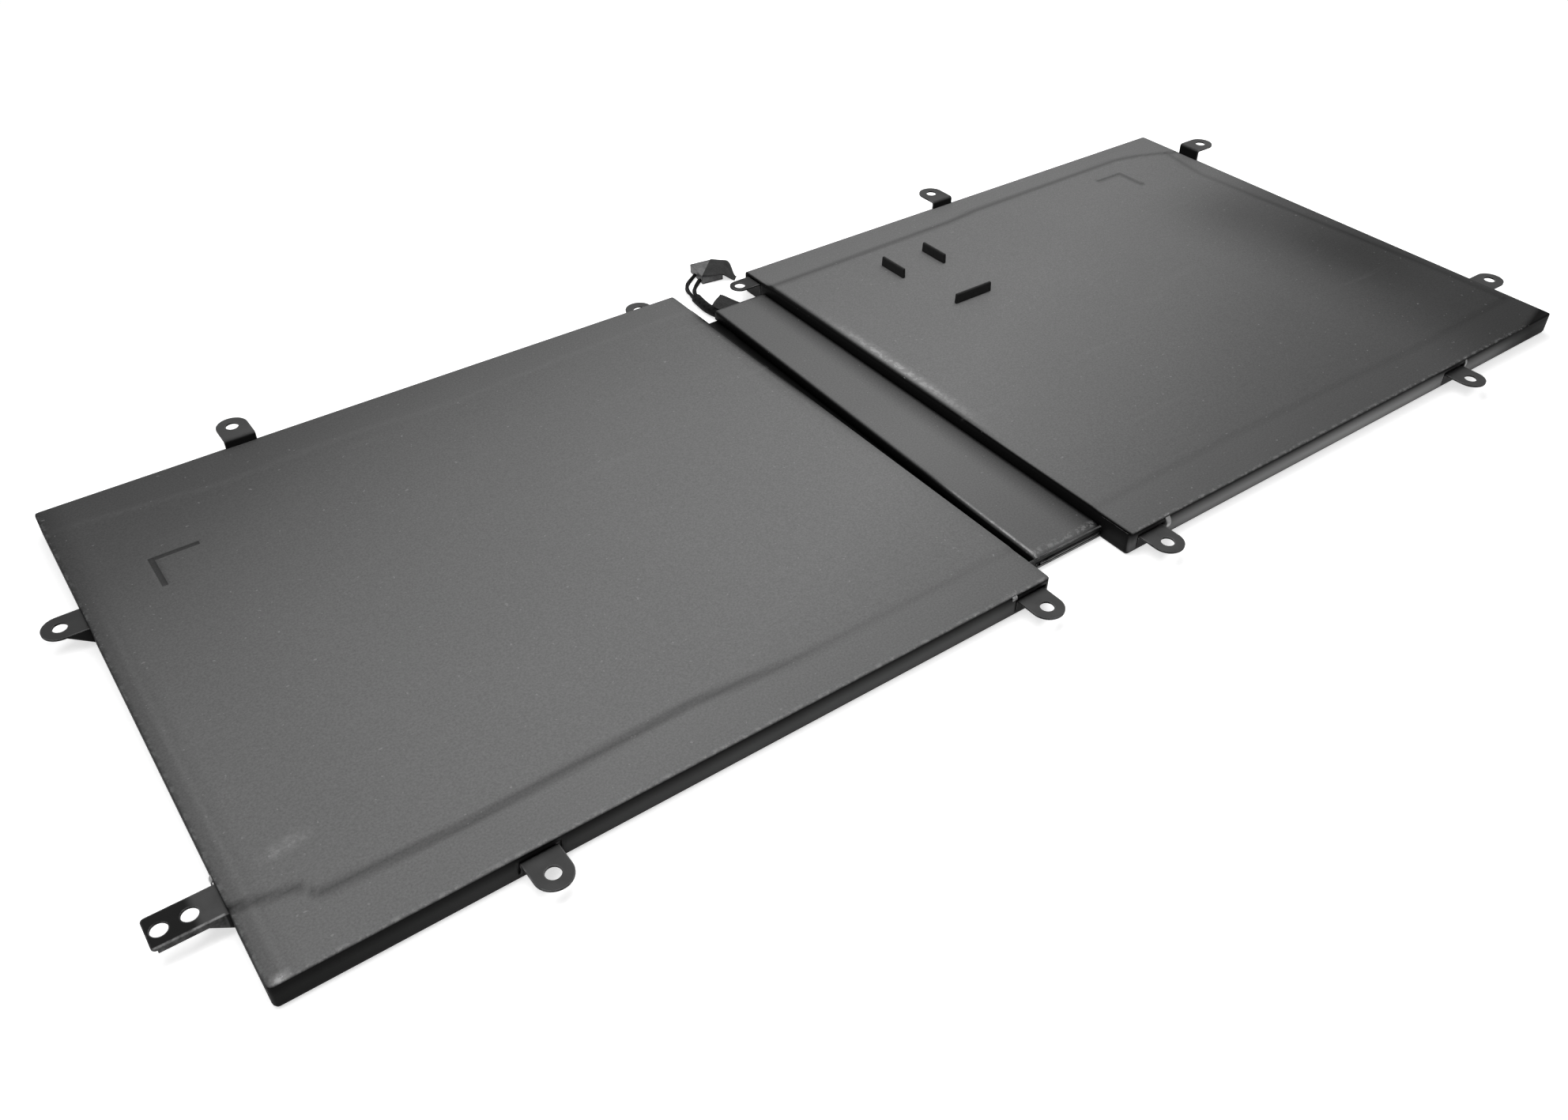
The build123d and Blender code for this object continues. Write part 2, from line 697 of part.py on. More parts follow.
def inner_rail(wing_width, near_notch, far_notch):
    """Plastic rail along a wing's open side, which carries the film beside the bridge."""
    left = wing_width - FILM - RAIL_THICKNESS
    front = near_notch + INNER + BEND_CLEARANCE
    rear = PACK_DEPTH - far_notch - INNER - BEND_CLEARANCE
    rail = block(left, wing_width - FILM, front, rear, SHEET, WALL_TOP)
    return rail - neck_window(near_notch, 0, wing_width)


def thermistor(wing_width, side):
    """Glass bead sensor between the two cells of a wing, on the floor, with its leads."""
    middle = cell_sides(wing_width, side, 1)[0] - CELL_GAP / 2
    centre_y = PACK_DEPTH / 2
    rod = Rot(90, 0, 0) * Cylinder(THERMISTOR / 2, THERMISTOR_LENGTH)
    return Pos(middle, centre_y, SHEET + THERMISTOR / 2) * rod


def main_board_sides():
    """Left and right side of the protection board under the bridge cover."""
    left = groove_edge(REAR_OF_BRIDGE, FILM) + MAIN_BOARD_GAP
    right = RIGHT_WING_START + FILM - MAIN_BOARD_GAP
    return left, right


def main_board_outline():
    """Outline of the protection board, cut back at the rear left for the lead."""
    left, right = main_board_sides()
    front = FRONT_NOTCH + INNER + BEND_CLEARANCE
    rear = PACK_DEPTH - neck_lane(REAR_NOTCH)[0]
    step_y = REAR_OF_BRIDGE - LEAD_ROOM
    step_x = right - NECK_WIDTH
    return [
        (left, front),
        (right, front),
        (right, rear),
        (step_x, rear),
        (step_x, step_y),
        (left, step_y),
    ]


def on_board(x_share, y, width, length, height):
    """Component on the protection board, at a share of its width and a depth y."""
    left, right = main_board_sides()
    x = left + x_share * (right - left)
    return block(
        x - width / 2, x + width / 2, y - length / 2, y + length / 2,
        BOARD_TOP, BOARD_TOP + height,
    )


def joint_plate(x_gap, lane):
    """Nickel plate soldered over the gap between a board neck and the protection board."""
    middle = (lane[0] + lane[1]) / 2
    half = JOINT_PLATE_WIDTH / 2
    reach = JOINT_PLATE_LENGTH / 2
    return block(x_gap - reach, x_gap + reach, middle - half, middle + half, BOARD_TOP, PAD_TOP)


def rib_rows():
    """Corners of the three ribs stuck on the right wing, as x and y ranges."""
    first = RIGHT_WING_START + FIRST_RIB_FROM_BRIDGE
    rear = PACK_DEPTH - SHORT_RIB_FROM_REAR + SHORT_RIB / 2
    front = rear - SHORT_RIB
    cross_y = PACK_DEPTH - LONG_RIB_FROM_REAR
    cross_x = RIGHT_WING_START + LONG_RIB_FROM_BRIDGE
    guides = [
        (x - RIB_THICKNESS / 2, x + RIB_THICKNESS / 2, front, rear)
        for x in (first, first + RIB_PITCH)
    ]
    stop = (
        cross_x - LONG_RIB / 2,
        cross_x + LONG_RIB / 2,
        cross_y - RIB_THICKNESS / 2,
        cross_y + RIB_THICKNESS / 2,
    )
    return guides, stop


def rib(corners):
    """Moulded rib with a softened top, standing on the film."""
    solid = block(*corners, PACK_HEIGHT, PACK_HEIGHT + RIB_HEIGHT)
    return fillet(solid.faces().sort_by(Axis.Z)[-1].edges(), RIB_SOFTENING)


def corner_radii(points):
    """Bend radius at each inner point: the arc takes a share of the shorter run."""
    radii = []
    for before, corner, after in zip(points, points[1:], points[2:]):
        into = Vector(*corner) - Vector(*before)
        out = Vector(*after) - Vector(*corner)
        half_turn = radians(into.get_angle(out)) / 2
        radii.append(BEND_SHARE * min(into.length, out.length) / tan(half_turn))
    return radii


def between(start, end, share):
    """Point at a share of the way from one point to another."""
    return tuple(a + share * (b - a) for a, b in zip(start, end))


def sleeve_path():
    """The sleeve's line: the middle of the route, from inside the bridge to its mouth."""
    radii = corner_radii(LEAD_ROUTE)
    first = between(LEAD_ROUTE[0], LEAD_ROUTE[1], SLEEVE_START_SHARE)
    last = between(LEAD_ROUTE[-2], LEAD_ROUTE[-1], SLEEVE_END_SHARE)
    return FilletPolyline(first, *LEAD_ROUTE[1:-1], last, radius=radii)


def round_tube(path, diameter, bore=0):
    """Round tube or rod along a path."""
    start = Plane(origin=path @ 0, z_dir=path % 0)
    section = start * Circle(diameter / 2)
    if bore:
        section -= start * Circle(bore / 2)
    return sweep(section, path=path)


def bundle_route(side, tail):
    """Route of one wire bundle: beside the sleeve's line, then out along its tail."""
    inside = [(x + side * BUNDLE_SPACING / 2, y, z) for x, y, z in LEAD_ROUTE]
    return inside + tail


def wire_bundle(side, tail):
    """One bundle of wires as a plain rod along its route."""
    points = bundle_route(side, tail)
    return round_tube(FilletPolyline(*points, radius=corner_radii(points)), BUNDLE)


def solder_joint(side):
    """Solder fillet on the board where a bundle's wires end."""
    x, y, _ = bundle_route(side, [])[0]
    half = BUNDLE / 2
    rear = y - FIT
    return block(x - half, x + half, rear - SOLDER_LENGTH, rear, BOARD_TOP, LEAD_ROUTE[0][2])


def plug_place():
    """Place of the plug: its front left lower corner, turned on the table."""
    corner = behind_left_wing([(*PLUG_CORNER, 0)])[0]
    return Pos(*corner) * Rot(0, 0, PLUG_TURN)


def plug_housing():
    """Plug body with the socket slot in its mating side and crimp entries at the back."""
    body = block(0, PLUG_LENGTH, 0, PLUG_WIDTH, 0, PLUG_HEIGHT)
    body = chamfer(body.edges().filter_by(Axis.X).group_by(Axis.Z)[-1], PLUG_CHAMFER)
    side = (PLUG_WIDTH - PLUG_SOCKET_WIDTH) / 2
    low = (PLUG_HEIGHT - PLUG_SOCKET_HEIGHT) / 2
    body -= block(
        PLUG_LENGTH - PLUG_SOCKET_DEPTH, PLUG_LENGTH, side, PLUG_WIDTH - side,
        low, low + PLUG_SOCKET_HEIGHT,
    )
    return plug_place() * body


def plug_contacts():
    """Row of flat contacts on the floor of the plug's socket."""
    low = (PLUG_HEIGHT - PLUG_SOCKET_HEIGHT) / 2
    start = (PLUG_WIDTH - (CONTACT_COUNT - 1) * CONTACT_PITCH) / 2
    row = []
    for index in range(CONTACT_COUNT):
        middle = start + index * CONTACT_PITCH
        row.append(plug_place() * block(
            PLUG_LENGTH - PLUG_SOCKET_DEPTH, PLUG_LENGTH - FIT,
            middle - CONTACT_WIDTH / 2, middle + CONTACT_WIDTH / 2,
            low, low + CONTACT_THICKNESS,
        ))
    return row


def plug_tape():
    """Folded tape that starts on the plug's top and droops to the table beside it."""
    flat = PLUG_HEIGHT + TAPE / 2
    start = (TAPE_HOLD, 0, flat)
    end = (TAPE_HOLD + TAPE_DROP_RUN, 0, TAPE / 2)
    droop = Spline(start, end, tangents=[(1, 0, 0), (1, 0, -1)])
    path = Line((0, 0, flat), start) + droop
    section = Plane(origin=(0, 0, flat), x_dir=(0, 1, 0), z_dir=(1, 0, 0))
    tape = sweep(section * Rectangle(TAPE_WIDTH, TAPE), path=path)
    middle = plug_place() * Pos(PLUG_LENGTH / 2, PLUG_WIDTH / 2, 0)
    return Pos(middle.position.X, middle.position.Y, 0) * Rot(0, 0, TAPE_TURN) * tape


def root_tape():
    """Tape flag stuck under the bridge cover's rear edge, beside the lead."""
    left = LEAD_ROUTE[1][0] + SLEEVE_BORE / 2 + SLEEVE_WALL + ROOT_TAPE_GAP
    right = groove_edge(REAR_OF_BRIDGE) + LEAD_PORT_WIDTH - FIT
    outline = [
        (left, REAR_OF_BRIDGE - ROOT_TAPE_HIDDEN),
        (right, REAR_OF_BRIDGE - ROOT_TAPE_HIDDEN),
        (right, REAR_OF_BRIDGE),
        (right - ROOT_TAPE_TAPER, REAR_OF_BRIDGE + ROOT_TAPE_REACH),
        (left + ROOT_TAPE_TAPER, REAR_OF_BRIDGE + ROOT_TAPE_REACH - TAPE),
        (left, REAR_OF_BRIDGE),
    ]
    return prism(outline, BRIDGE_WALL_TOP - TAPE, BRIDGE_WALL_TOP)


def wing_pieces(wing_width, side, near_notch, far_notch, far_side):
    """Everything that one wing holds, with its terraces to the front."""
    cells = [cell_sides(wing_width, side, place) for place in (0, 1)]
    outline = link_outline(wing_width, near_notch, far_side)
    return {
        "outer_cell": [pouch_cell(cells[0])],
        "inner_cell": [pouch_cell(cells[1])],
        "cell_aluminium_tabs": [terminal_strip(cell, -1) for cell in cells],
        "cell_nickel_tabs": [terminal_strip(cell, 1) for cell in cells],
        "weld_pads": [weld_pad(cell, end) for cell in cells for end in (-1, 1)],
        "terrace_tapes": [terrace_tape(cell) for cell in cells],
        "cell_adhesive_pads": [adhesive_pad(cell) for cell in cells],
        "link_board": [prism(outline, BOARD_BOTTOM, BOARD_TOP)],
        "link_insulator": [prism(outline, SHEET, BOARD_BOTTOM)],
        "margin_strip": [margin_strip(wing_width)],
        "end_foam": [rear_foam(wing_width)],
        "outer_side_foams": [outer_foam(side)],
        "inner_rail": [inner_rail(wing_width, near_notch, far_notch)],
        "thermistors": [thermistor(wing_width, side)],
    }


def groove_tape():
    """Dark tape over the board neck where it crosses the groove beside the bridge."""
    start, end = neck_lane(FRONT_NOTCH)
    right = groove_edge(start) - FIT
    rear = end + GROOVE_TAPE_OVERHANG
    return block(LEFT_WING_WIDTH, right, start, rear, BOARD_TOP, BOARD_TOP + TAPE)


def board_parts():
    """The protection board's components, by node."""
    first_resistor = PACK_DEPTH - RESISTOR_FROM_REAR
    switches = [
        on_board(SWITCH_COLUMN, SWITCH_Y + index * SWITCH_PITCH, *SWITCH_SIZE)
        for index in range(SWITCH_COUNT)
    ]
    capacitors = [
        on_board(CAPACITOR_COLUMN, CAPACITOR_Y + index * SMALL_PART_PITCH, *CAPACITOR_SIZE)
        for index in range(CAPACITOR_COUNT)
    ]
    resistors = [
        on_board(RESISTOR_COLUMN, first_resistor + index * SMALL_PART_PITCH, *RESISTOR_SIZE)
        for index in range(RESISTOR_COUNT)
    ]
    return {
        "chip_fuse": [on_board(FUSE_COLUMN, FUSE_Y, *FUSE_SIZE)],
        "current_shunt": [on_board(FUSE_COLUMN, SHUNT_Y, *SHUNT_SIZE)],
        "power_switches": switches,
        "gauge_chip": [on_board(CHIP_COLUMN, PACK_DEPTH - GAUGE_FROM_REAR, *GAUGE_SIZE)],
        "protector_chip": [on_board(CHIP_COLUMN, PACK_DEPTH - PROTECTOR_FROM_REAR, *PROTECTOR_SIZE)],
        "capacitors": capacitors,
        "resistors": resistors,
    }


def all_nodes():
    """Every node as a list of its solids, in the frame of the left wing's front corner."""
    board_left, board_right = main_board_sides()
    left_end = board_left - BOARD_GAP
    right_end = PACK_LENGTH - board_right - BOARD_GAP
    left = wing_pieces(LEFT_WING_WIDTH, LEFT_CELL_SIDE, FRONT_NOTCH, REAR_NOTCH, left_end)
    right_width = PACK_LENGTH - RIGHT_WING_START
    right = wing_pieces(right_width, RIGHT_CELL_SIDE, REAR_NOTCH, FRONT_NOTCH, right_end)
    right = {name: [turned(piece) for piece in solids] for name, solids in right.items()}
    nodes = {
        "pack_frame": [pack_frame()],
        "left_cover_film": [left_cover_film()],
        "right_cover_film": [right_cover_film()],
        "bridge_cover": [bridge_cover()],
    }
    for shared in (
        "cell_aluminium_tabs",
        "cell_nickel_tabs",
        "weld_pads",
        "terrace_tapes",
        "cell_adhesive_pads",
        "outer_side_foams",
        "thermistors",
    ):
        nodes[shared] = left.pop(shared) + right.pop(shared)
    nodes["left_rear_foam"] = left.pop("end_foam")
    nodes["right_front_foam"] = right.pop("end_foam")
    for name in left:
        nodes["left_" + name] = left[name]
        nodes["right_" + name] = right[name]
    right_lane = [PACK_DEPTH - y for y in neck_lane(REAR_NOTCH)]
    nodes["bridge_insulator"] = [prism(main_board_outline(), SHEET, BOARD_BOTTOM)]
    nodes["protection_board"] = [prism(main_board_outline(), BOARD_BOTTOM, BOARD_TOP)]
    nodes["joint_plates"] = [
        joint_plate(board_left - BOARD_GAP / 2, neck_lane(FRONT_NOTCH)),
        joint_plate(board_right + BOARD_GAP / 2, right_lane),
    ]
    nodes["groove_tape"] = [groove_tape()]
    nodes.update(board_parts())
    guides, stop = rib_rows()
    nodes["cable_guide_ribs"] = [rib(corners) for corners in guides]
    nodes["cable_stop_rib"] = [rib(stop)]
    nodes["lead_solder_joints"] = [solder_joint(side) for side in (-1, 1)]
    nodes["left_wire_bundle"] = [wire_bundle(-1, LEFT_TAIL)]
    nodes["right_wire_bundle"] = [wire_bundle(1, RIGHT_TAIL)]
    sleeve = SLEEVE_BORE + 2 * SLEEVE_WALL
    nodes["lead_sleeve"] = [round_tube(sleeve_path(), sleeve, SLEEVE_BORE)]
    nodes["plug_housing"] = [plug_housing()]
    nodes["plug_contacts"] = plug_contacts()
    nodes["plug_tape"] = [plug_tape()]
    nodes["lead_root_tape"] = [root_tape()]
    return nodes


def write_nodes():
    """Write one file per node, with the origin under the middle of the pack."""
    os.makedirs("parts", exist_ok=True)
    for name, pieces in all_nodes().items():
        solids = [solid for piece in pieces for solid in piece.solids()]
        whole = Compound(solids) if len(solids) > 1 else solids[0]
        export_step(Pos(-CENTRE_X, -CENTRE_Y, 0) * whole, "parts/" + name + ".step")


write_nodes()
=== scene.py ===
"""Look of the flat two-wing laptop battery: soft film hoods, bridge cover, ribs, lead and plug."""

import json
import math

import bmesh
import bpy
from mathutils import Matrix, Vector, noise


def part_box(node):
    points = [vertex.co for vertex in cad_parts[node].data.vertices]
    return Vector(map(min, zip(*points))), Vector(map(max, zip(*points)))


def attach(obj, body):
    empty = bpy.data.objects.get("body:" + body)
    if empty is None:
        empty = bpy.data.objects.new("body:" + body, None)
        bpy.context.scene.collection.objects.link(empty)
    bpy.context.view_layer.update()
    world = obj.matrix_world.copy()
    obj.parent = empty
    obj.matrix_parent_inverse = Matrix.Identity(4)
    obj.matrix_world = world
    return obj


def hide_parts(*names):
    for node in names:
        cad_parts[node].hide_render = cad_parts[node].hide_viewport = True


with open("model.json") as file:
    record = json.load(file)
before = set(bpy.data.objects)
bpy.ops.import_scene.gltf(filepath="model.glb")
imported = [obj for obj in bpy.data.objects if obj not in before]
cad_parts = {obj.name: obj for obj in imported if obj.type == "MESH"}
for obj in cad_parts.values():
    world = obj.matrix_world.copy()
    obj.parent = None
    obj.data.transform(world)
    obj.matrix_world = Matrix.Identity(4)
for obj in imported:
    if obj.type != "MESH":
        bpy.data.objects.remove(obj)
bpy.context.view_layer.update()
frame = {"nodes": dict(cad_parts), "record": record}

# Lengths in metres, from sizes in millimetres
MM = 0.001
STEP = 0.15 * MM
MARGIN_DROP = 0.1 * MM
CORNER = 1.0 * MM
FOLD = 0.35 * MM
INNER_FOLD = 0.6 * MM
BRIDGE_LEFT_FOLD = 0.7 * MM
BRIDGE_FRONT_FOLD = 2.1 * MM
FILM_THICKNESS = 0.1 * MM
SKIRT_BOTTOM = 0.9 * MM
WINDOW_LIP = 1.2 * MM
FLUSH_LIP = 0.18 * MM
TAB_HALF_WINDOW = 4.2 * MM
NOTCH_TAB_HALF_WINDOW = 3.3 * MM
GRID = 1.1 * MM
SMOOTH_STEP = 0.7 * MM
PAINTED_STEP_WIDTH = 1.8 * MM
SHEET_EDGE = 0.4 * MM
SIDE_HEIGHTS = (5.4 * MM, 1.0 * MM)

# Nearness at which grid lines, edges and points count as one
SLIVER = 0.05 * MM
TOUCH = 0.02 * MM
WELD = 0.004 * MM

# Finish of the films and the coated sheet, painted shade of the films' sides and creases, and fold
# wear that stops where the painted shade is deep
FILM_SPECULAR = 0.03
SHEET_SPECULAR = 0.08
SIDE_SHADE = 0.005
PAINTED_SHADE_STRENGTH = 0.42
FRONT_WEAR = 0.8
LEFT_WEAR = 0.4
UNRUBBED_SHADE = 1.6

# Places and tones of the slanting fall of light on the films, along x less twice y
TONE_SPAN = (-0.307, 0.303)
TONE_STOPS = [
    (0.0, 0.47), (0.1, 0.59), (0.17, 0.75), (0.26, 0.86), (0.33, 0.91), (0.46, 0.98), (0.56, 1.0),
    (0.66, 0.88), (0.72, 0.8), (0.79, 0.67), (0.87, 0.57), (1.0, 0.46),
]

# How much painted sheen, a painted reflection of the table, the front sides get from the pack's left
# end to its right end
SIDE_PAINTED_SHEEN = [
    (0.0, 0.0), (0.08, 0.02), (0.25, 0.09), (0.42, 0.14), (0.47, 0.1), (0.48, 0.85), (0.53, 0.85),
    (0.545, 0.15), (0.58, 0.38), (0.67, 0.45), (0.76, 0.58), (0.9, 0.5), (0.935, 0.4), (0.965, 0.1),
    (0.985, 0.0), (1.0, 0.0),
]

# Shaded places of the coated sheet in millimetres from the pack's front left corner: across,
# in depth, softness of the sides, and strength of the shade
SHEET_SHADES = {
    "groove": ((161.9, 169.5), (6, 134), 0.2, 0.95),
    "rear notch": ((170, 186), (134, 143), 0.5, 0.6),
    "bracket": ((-20, -4.4), (10, 30), 0.9, 0.88),
    "right end": ((240, 360), (-20, 170), 40.0, 0.35),
    "left side": ((-20, 1), (80, 120), 0.5, 0.35),
}
# Painted highlight along the bracket's front lip: across and in depth in millimetres, and its
# softness
BRACKET_LIP_HIGHLIGHT = ((-13, -0.5), (17.2, 17.7), 0.15)

LEFT_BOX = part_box("left_cover_film")
RIGHT_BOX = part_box("right_cover_film")
BRIDGE_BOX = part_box("bridge_cover")
BRIDGE_MIDDLE = (BRIDGE_BOX[0][1] + BRIDGE_BOX[1][1]) / 2
WING_TOP = LEFT_BOX[1][2]
ORIGIN_X = LEFT_BOX[0][0]
ORIGIN_Y = LEFT_BOX[0][1]


def at(x, y, z=0.0):
    """Point from millimetres right of and behind the pack's front left corner."""
    return Vector((ORIGIN_X + x * MM, ORIGIN_Y + y * MM, z * MM))


# Widths along the pack, in millimetres from its left end
LEFT_WING_WIDTH = (LEFT_BOX[1][0] - ORIGIN_X) / MM
RIGHT_WING_START = (RIGHT_BOX[0][0] - ORIGIN_X) / MM
RIGHT_END_X = (RIGHT_BOX[1][0] - ORIGIN_X) / MM

# Places of the tabs along the edges, in millimetres from the front left corner
FRONT_TABS_LEFT = (45.5, 156.7)
FRONT_TABS_RIGHT = (191.9, 301.5)
REAR_TABS_LEFT = (45.0, 153.8)
REAR_TABS_RIGHT = (256.5,)
LEFT_SIDE_TABS = (20.7, 102.4)
RIGHT_SIDE_TABS = (20.7, 123.7)
NOTCH_TAB = 138.3


def rgb(value):
    """Three numbers of a colour, from a grey or a colour."""
    return value if isinstance(value, tuple) else (value, value, value)


class Nodes:
    """Short way to build a material's node tree."""

    def __init__(self, name):
        self.material = bpy.data.materials.new(name)
        self.material.use_nodes = True
        self.tree = self.material.node_tree
        self.shader = self.tree.nodes["Principled BSDF"]
        self.place = self.add("ShaderNodeTexCoord").outputs["Object"]

    def add(self, kind, **settings):
        """New node with its settings."""
        node = self.tree.nodes.new(kind)
        for key, value in settings.items():
            setattr(node, key, value)
        return node

    def fill(self, node, inputs):
        """Link outputs to a node's inputs, or set them to numbers or colours; None is left."""
        for key, value in inputs.items():
            socket = node.inputs[key]
            if hasattr(value, "links"):
                self.tree.links.new(value, socket)
            elif socket.type == "RGBA":
                socket.default_value = (*rgb(value), 1.0)
            elif value is not None:
                socket.default_value = value

    def make(self, kind, inputs, output=0, **settings):
        """Output of a new node, with its inputs filled."""
        node = self.add(kind, **settings)
        self.fill(node, inputs)
        return node.outputs[output]

    def noise(self, scale, detail=3.0, roughness=0.5, stretch=None):
        """Noise whose scale is in features per metre, stretched along the axes if asked."""
        place = self.place
        if stretch:
            place = self.make("ShaderNodeMapping", {"Vector": place, "Scale": stretch})
        inputs = {"Vector": place, "Scale": scale, "Detail": detail, "Roughness": roughness}
        return self.make("ShaderNodeTexNoise", inputs, "Fac")

    def ramp(self, source, stops):
        """Map a value through colour stops given as (place, grey or colour)."""
        node = self.add("ShaderNodeValToRGB")
        elements = node.color_ramp.elements
        while len(elements) < len(stops):
            elements.new(0.5)
        for element, (place, value) in zip(elements, stops):
            element.position = place
            element.color = (*rgb(value), 1.0)
        self.fill(node, {"Fac": source})
        return node.outputs["Color"]

    def mix(self, factor, first, second, blend="MIX"):
        """Mix two colours or sockets by a factor socket or number."""
        inputs = {0: factor, 6: first, 7: second}
        return self.make("ShaderNodeMix", inputs, 2, data_type="RGBA", blend_type=blend)

    def math(self, operation, first, second=0.0):
        """Arithmetic on sockets or numbers."""
        return self.make("ShaderNodeMath", {0: first, 1: second}, operation=operation)

    def parts(self, vector):
        """Outputs X, Y and Z of a vector."""
        node = self.add("ShaderNodeSeparateXYZ")
        self.fill(node, {0: vector})
        return node.outputs

    def span(self, source, low, high, kind="LINEAR"):
        """Value that runs from 0 at low to 1 at high."""
        inputs = {"Value": source, "From Min": low, "From Max": high}
        return self.make("ShaderNodeMapRange", inputs, "Result", interpolation_type=kind)

    def area(self, across, deep, blur):
        """Mask that is 1 inside a rectangle of the plan with soft sides, in millimetres."""
        near, far = at(across[0], deep[0]), at(across[1], deep[1])
        place = self.parts(self.place)
        blur *= MM
        mask = 1.0
        for axis, low, high in (("X", near.x, far.x), ("Y", near.y, far.y)):
            for start, end in ((low - blur, low + blur), (high + blur, high - blur)):
                inside = self.span(place[axis], start, end, "SMOOTHSTEP")
                mask = self.math("MULTIPLY", inside, mask)
        return mask

    def bump(self, height, distance, strength=1.0, normal=None):
        """Bump whose height runs over a distance in metres."""
        inputs = {"Height": height, "Distance": distance, "Strength": strength, "Normal": normal}
        return self.make("ShaderNodeBump", inputs, "Normal")

    def rounded(self, radius):
        """Normal that is softened at hard edges."""
        return self.make("ShaderNodeBevel", {"Radius": radius}, "Normal", samples=4)

    def finish(self, colour, roughness, normal=None, metallic=0.0, specular=0.5):
        """Material whose shader gets the colour, roughness and normal, and two even numbers."""
        self.fill(self.shader, {
            "Base Color": colour, "Roughness": roughness, "Normal": normal,
            "Metallic": metallic, "Specular IOR Level": specular,
        })
        return self.material


def studio_tone(n):
    """Painted fall of the studio light across the pack: full in the middle, falling towards its far
    left and right corners.
    """
    place = n.parts(n.place)
    slant = n.math("ADD", place["X"], n.math("MULTIPLY", place["Y"], -2.0))
    return n.ramp(n.span(slant, *TONE_SPAN), TONE_STOPS)


def side_tone(n, y_facing, pale):
    """Painted light on the folded front sides: painted shade under the fold, and a painted reflection
    of the table that makes them paler low down.
    """
    place = n.parts(n.place)
    painted_sheen = n.ramp(n.span(place["X"], ORIGIN_X, -ORIGIN_X), SIDE_PAINTED_SHEEN)
    low = n.span(place["Z"], *SIDE_HEIGHTS)
    frontward = n.ramp(n.math("MULTIPLY", y_facing, -1.0), [(0.4, 0.0), (0.9, 1.0)])
    lit = n.math("MULTIPLY", n.math("MULTIPLY", painted_sheen, low), frontward)
    return n.mix(lit, SIDE_SHADE, pale)


def top_tone(n, top, grain, cloud_scale):
    """Tone of a film's top: cloudy grey with the painted fall of studio light, painted shade in
    creases and hollows, painted highlights and rubbed places, dust and faint streaks.
    """
    crease = n.add("ShaderNodeAttribute", attribute_name="crease").outputs["Fac"]
    fold = n.add("ShaderNodeAttribute", attribute_name="fold").outputs["Fac"]
    cloud = n.ramp(n.noise(cloud_scale, 3.0, 0.55), [(0.3, top * 0.93), (0.7, top * 1.07)])
    tone = n.mix(0.4, cloud, n.ramp(grain, [(0.3, top * 0.7), (0.7, top * 1.35)]))
    # Painted fall of the studio light across the top
    tone = n.mix(1.0, tone, studio_tone(n), "MULTIPLY")
    # Painted shade where the attribute is above 0; below 0 it gives painted highlights and rubbed and
    # chipped places, which the paler layers show
    tone = n.mix(n.math("MULTIPLY", n.math("MAXIMUM", crease, 0.0), PAINTED_SHADE_STRENGTH), tone, 0.0)
    pale = n.math("MAXIMUM", n.math("MULTIPLY", crease, -1.0), 0.0)
    wear_and_highlight = n.ramp(n.noise(520.0, 5.0, 0.75), [(0.5, 0.0), (0.56, 1.0)])
    patchy = n.math("ADD", n.math("MULTIPLY", wear_and_highlight, 0.35), 0.2)
    dust = n.ramp(n.noise(1100.0, 1.0, 0.4), [(0.765, 0.0), (0.79, 1.0)])
    streak = n.ramp(n.noise(60.0, 4.0, 0.6, (0.25, 3.0, 1.0)), [(0.64, 0.0), (0.76, 1.0)])
    worn = n.math("MULTIPLY", n.math("MINIMUM", fold, 1.0), wear_and_highlight)
    # Paler layers: painted highlights with rubbed and chipped places, dust, streaks and worn folds;
    # where they lie, how strongly they show, and how much paler they are
    layers = [(pale, patchy, 2.4), (dust, 0.3, 2.2), (streak, 0.08, 1.7), (worn, 0.4, 2.4)]
    for mask, strength, paler in layers:
        tone = n.mix(n.math("MULTIPLY", mask, strength), tone, top * paler)
    return tone


def film_material(name, top, side_pale, cloud_scale=9.0):
    """Matt film: grey on top with dust, a paler patch and rubbed folds, with painted shade and
    highlights, and painted shade down its sides.
    """
    n = Nodes(name)
    facing = n.parts(n.add("ShaderNodeNewGeometry").outputs["Normal"])
    upward = n.ramp(facing["Z"], [(0.15, 0.0), (0.97, 1.0)])
    grain = n.noise(2400.0, 2.0, 0.6)
    side = side_tone(n, facing["Y"], side_pale)
    # Faces turned away from up take the sides' painted shade and painted reflection in place of the
    # top's tone
    colour = n.mix(upward, side, top_tone(n, top, grain, cloud_scale))
    rough = n.ramp(n.noise(35.0, 4.0, 0.6), [(0.3, 0.5), (0.7, 0.6)])
    return n.finish(colour, rough, n.bump(grain, 0.03 * MM, 0.5), specular=FILM_SPECULAR)


def sheet_shade(n, height):
    """Places of the coated sheet that lie in shade: groove, rear notch, bracket and ends.

    height is the upward part of the normal, so that the groove's shade stays inside it.
    """
    shade = 0.0
    for name, (across, deep, blur, strength) in SHEET_SHADES.items():
        mask = n.area(across, deep, blur)
        if name == "groove":
            mask = n.math("MULTIPLY", mask, n.math("GREATER_THAN", height, 0.5))
        shade = n.math("MAXIMUM", shade, n.math("MULTIPLY", mask, strength))
    return shade


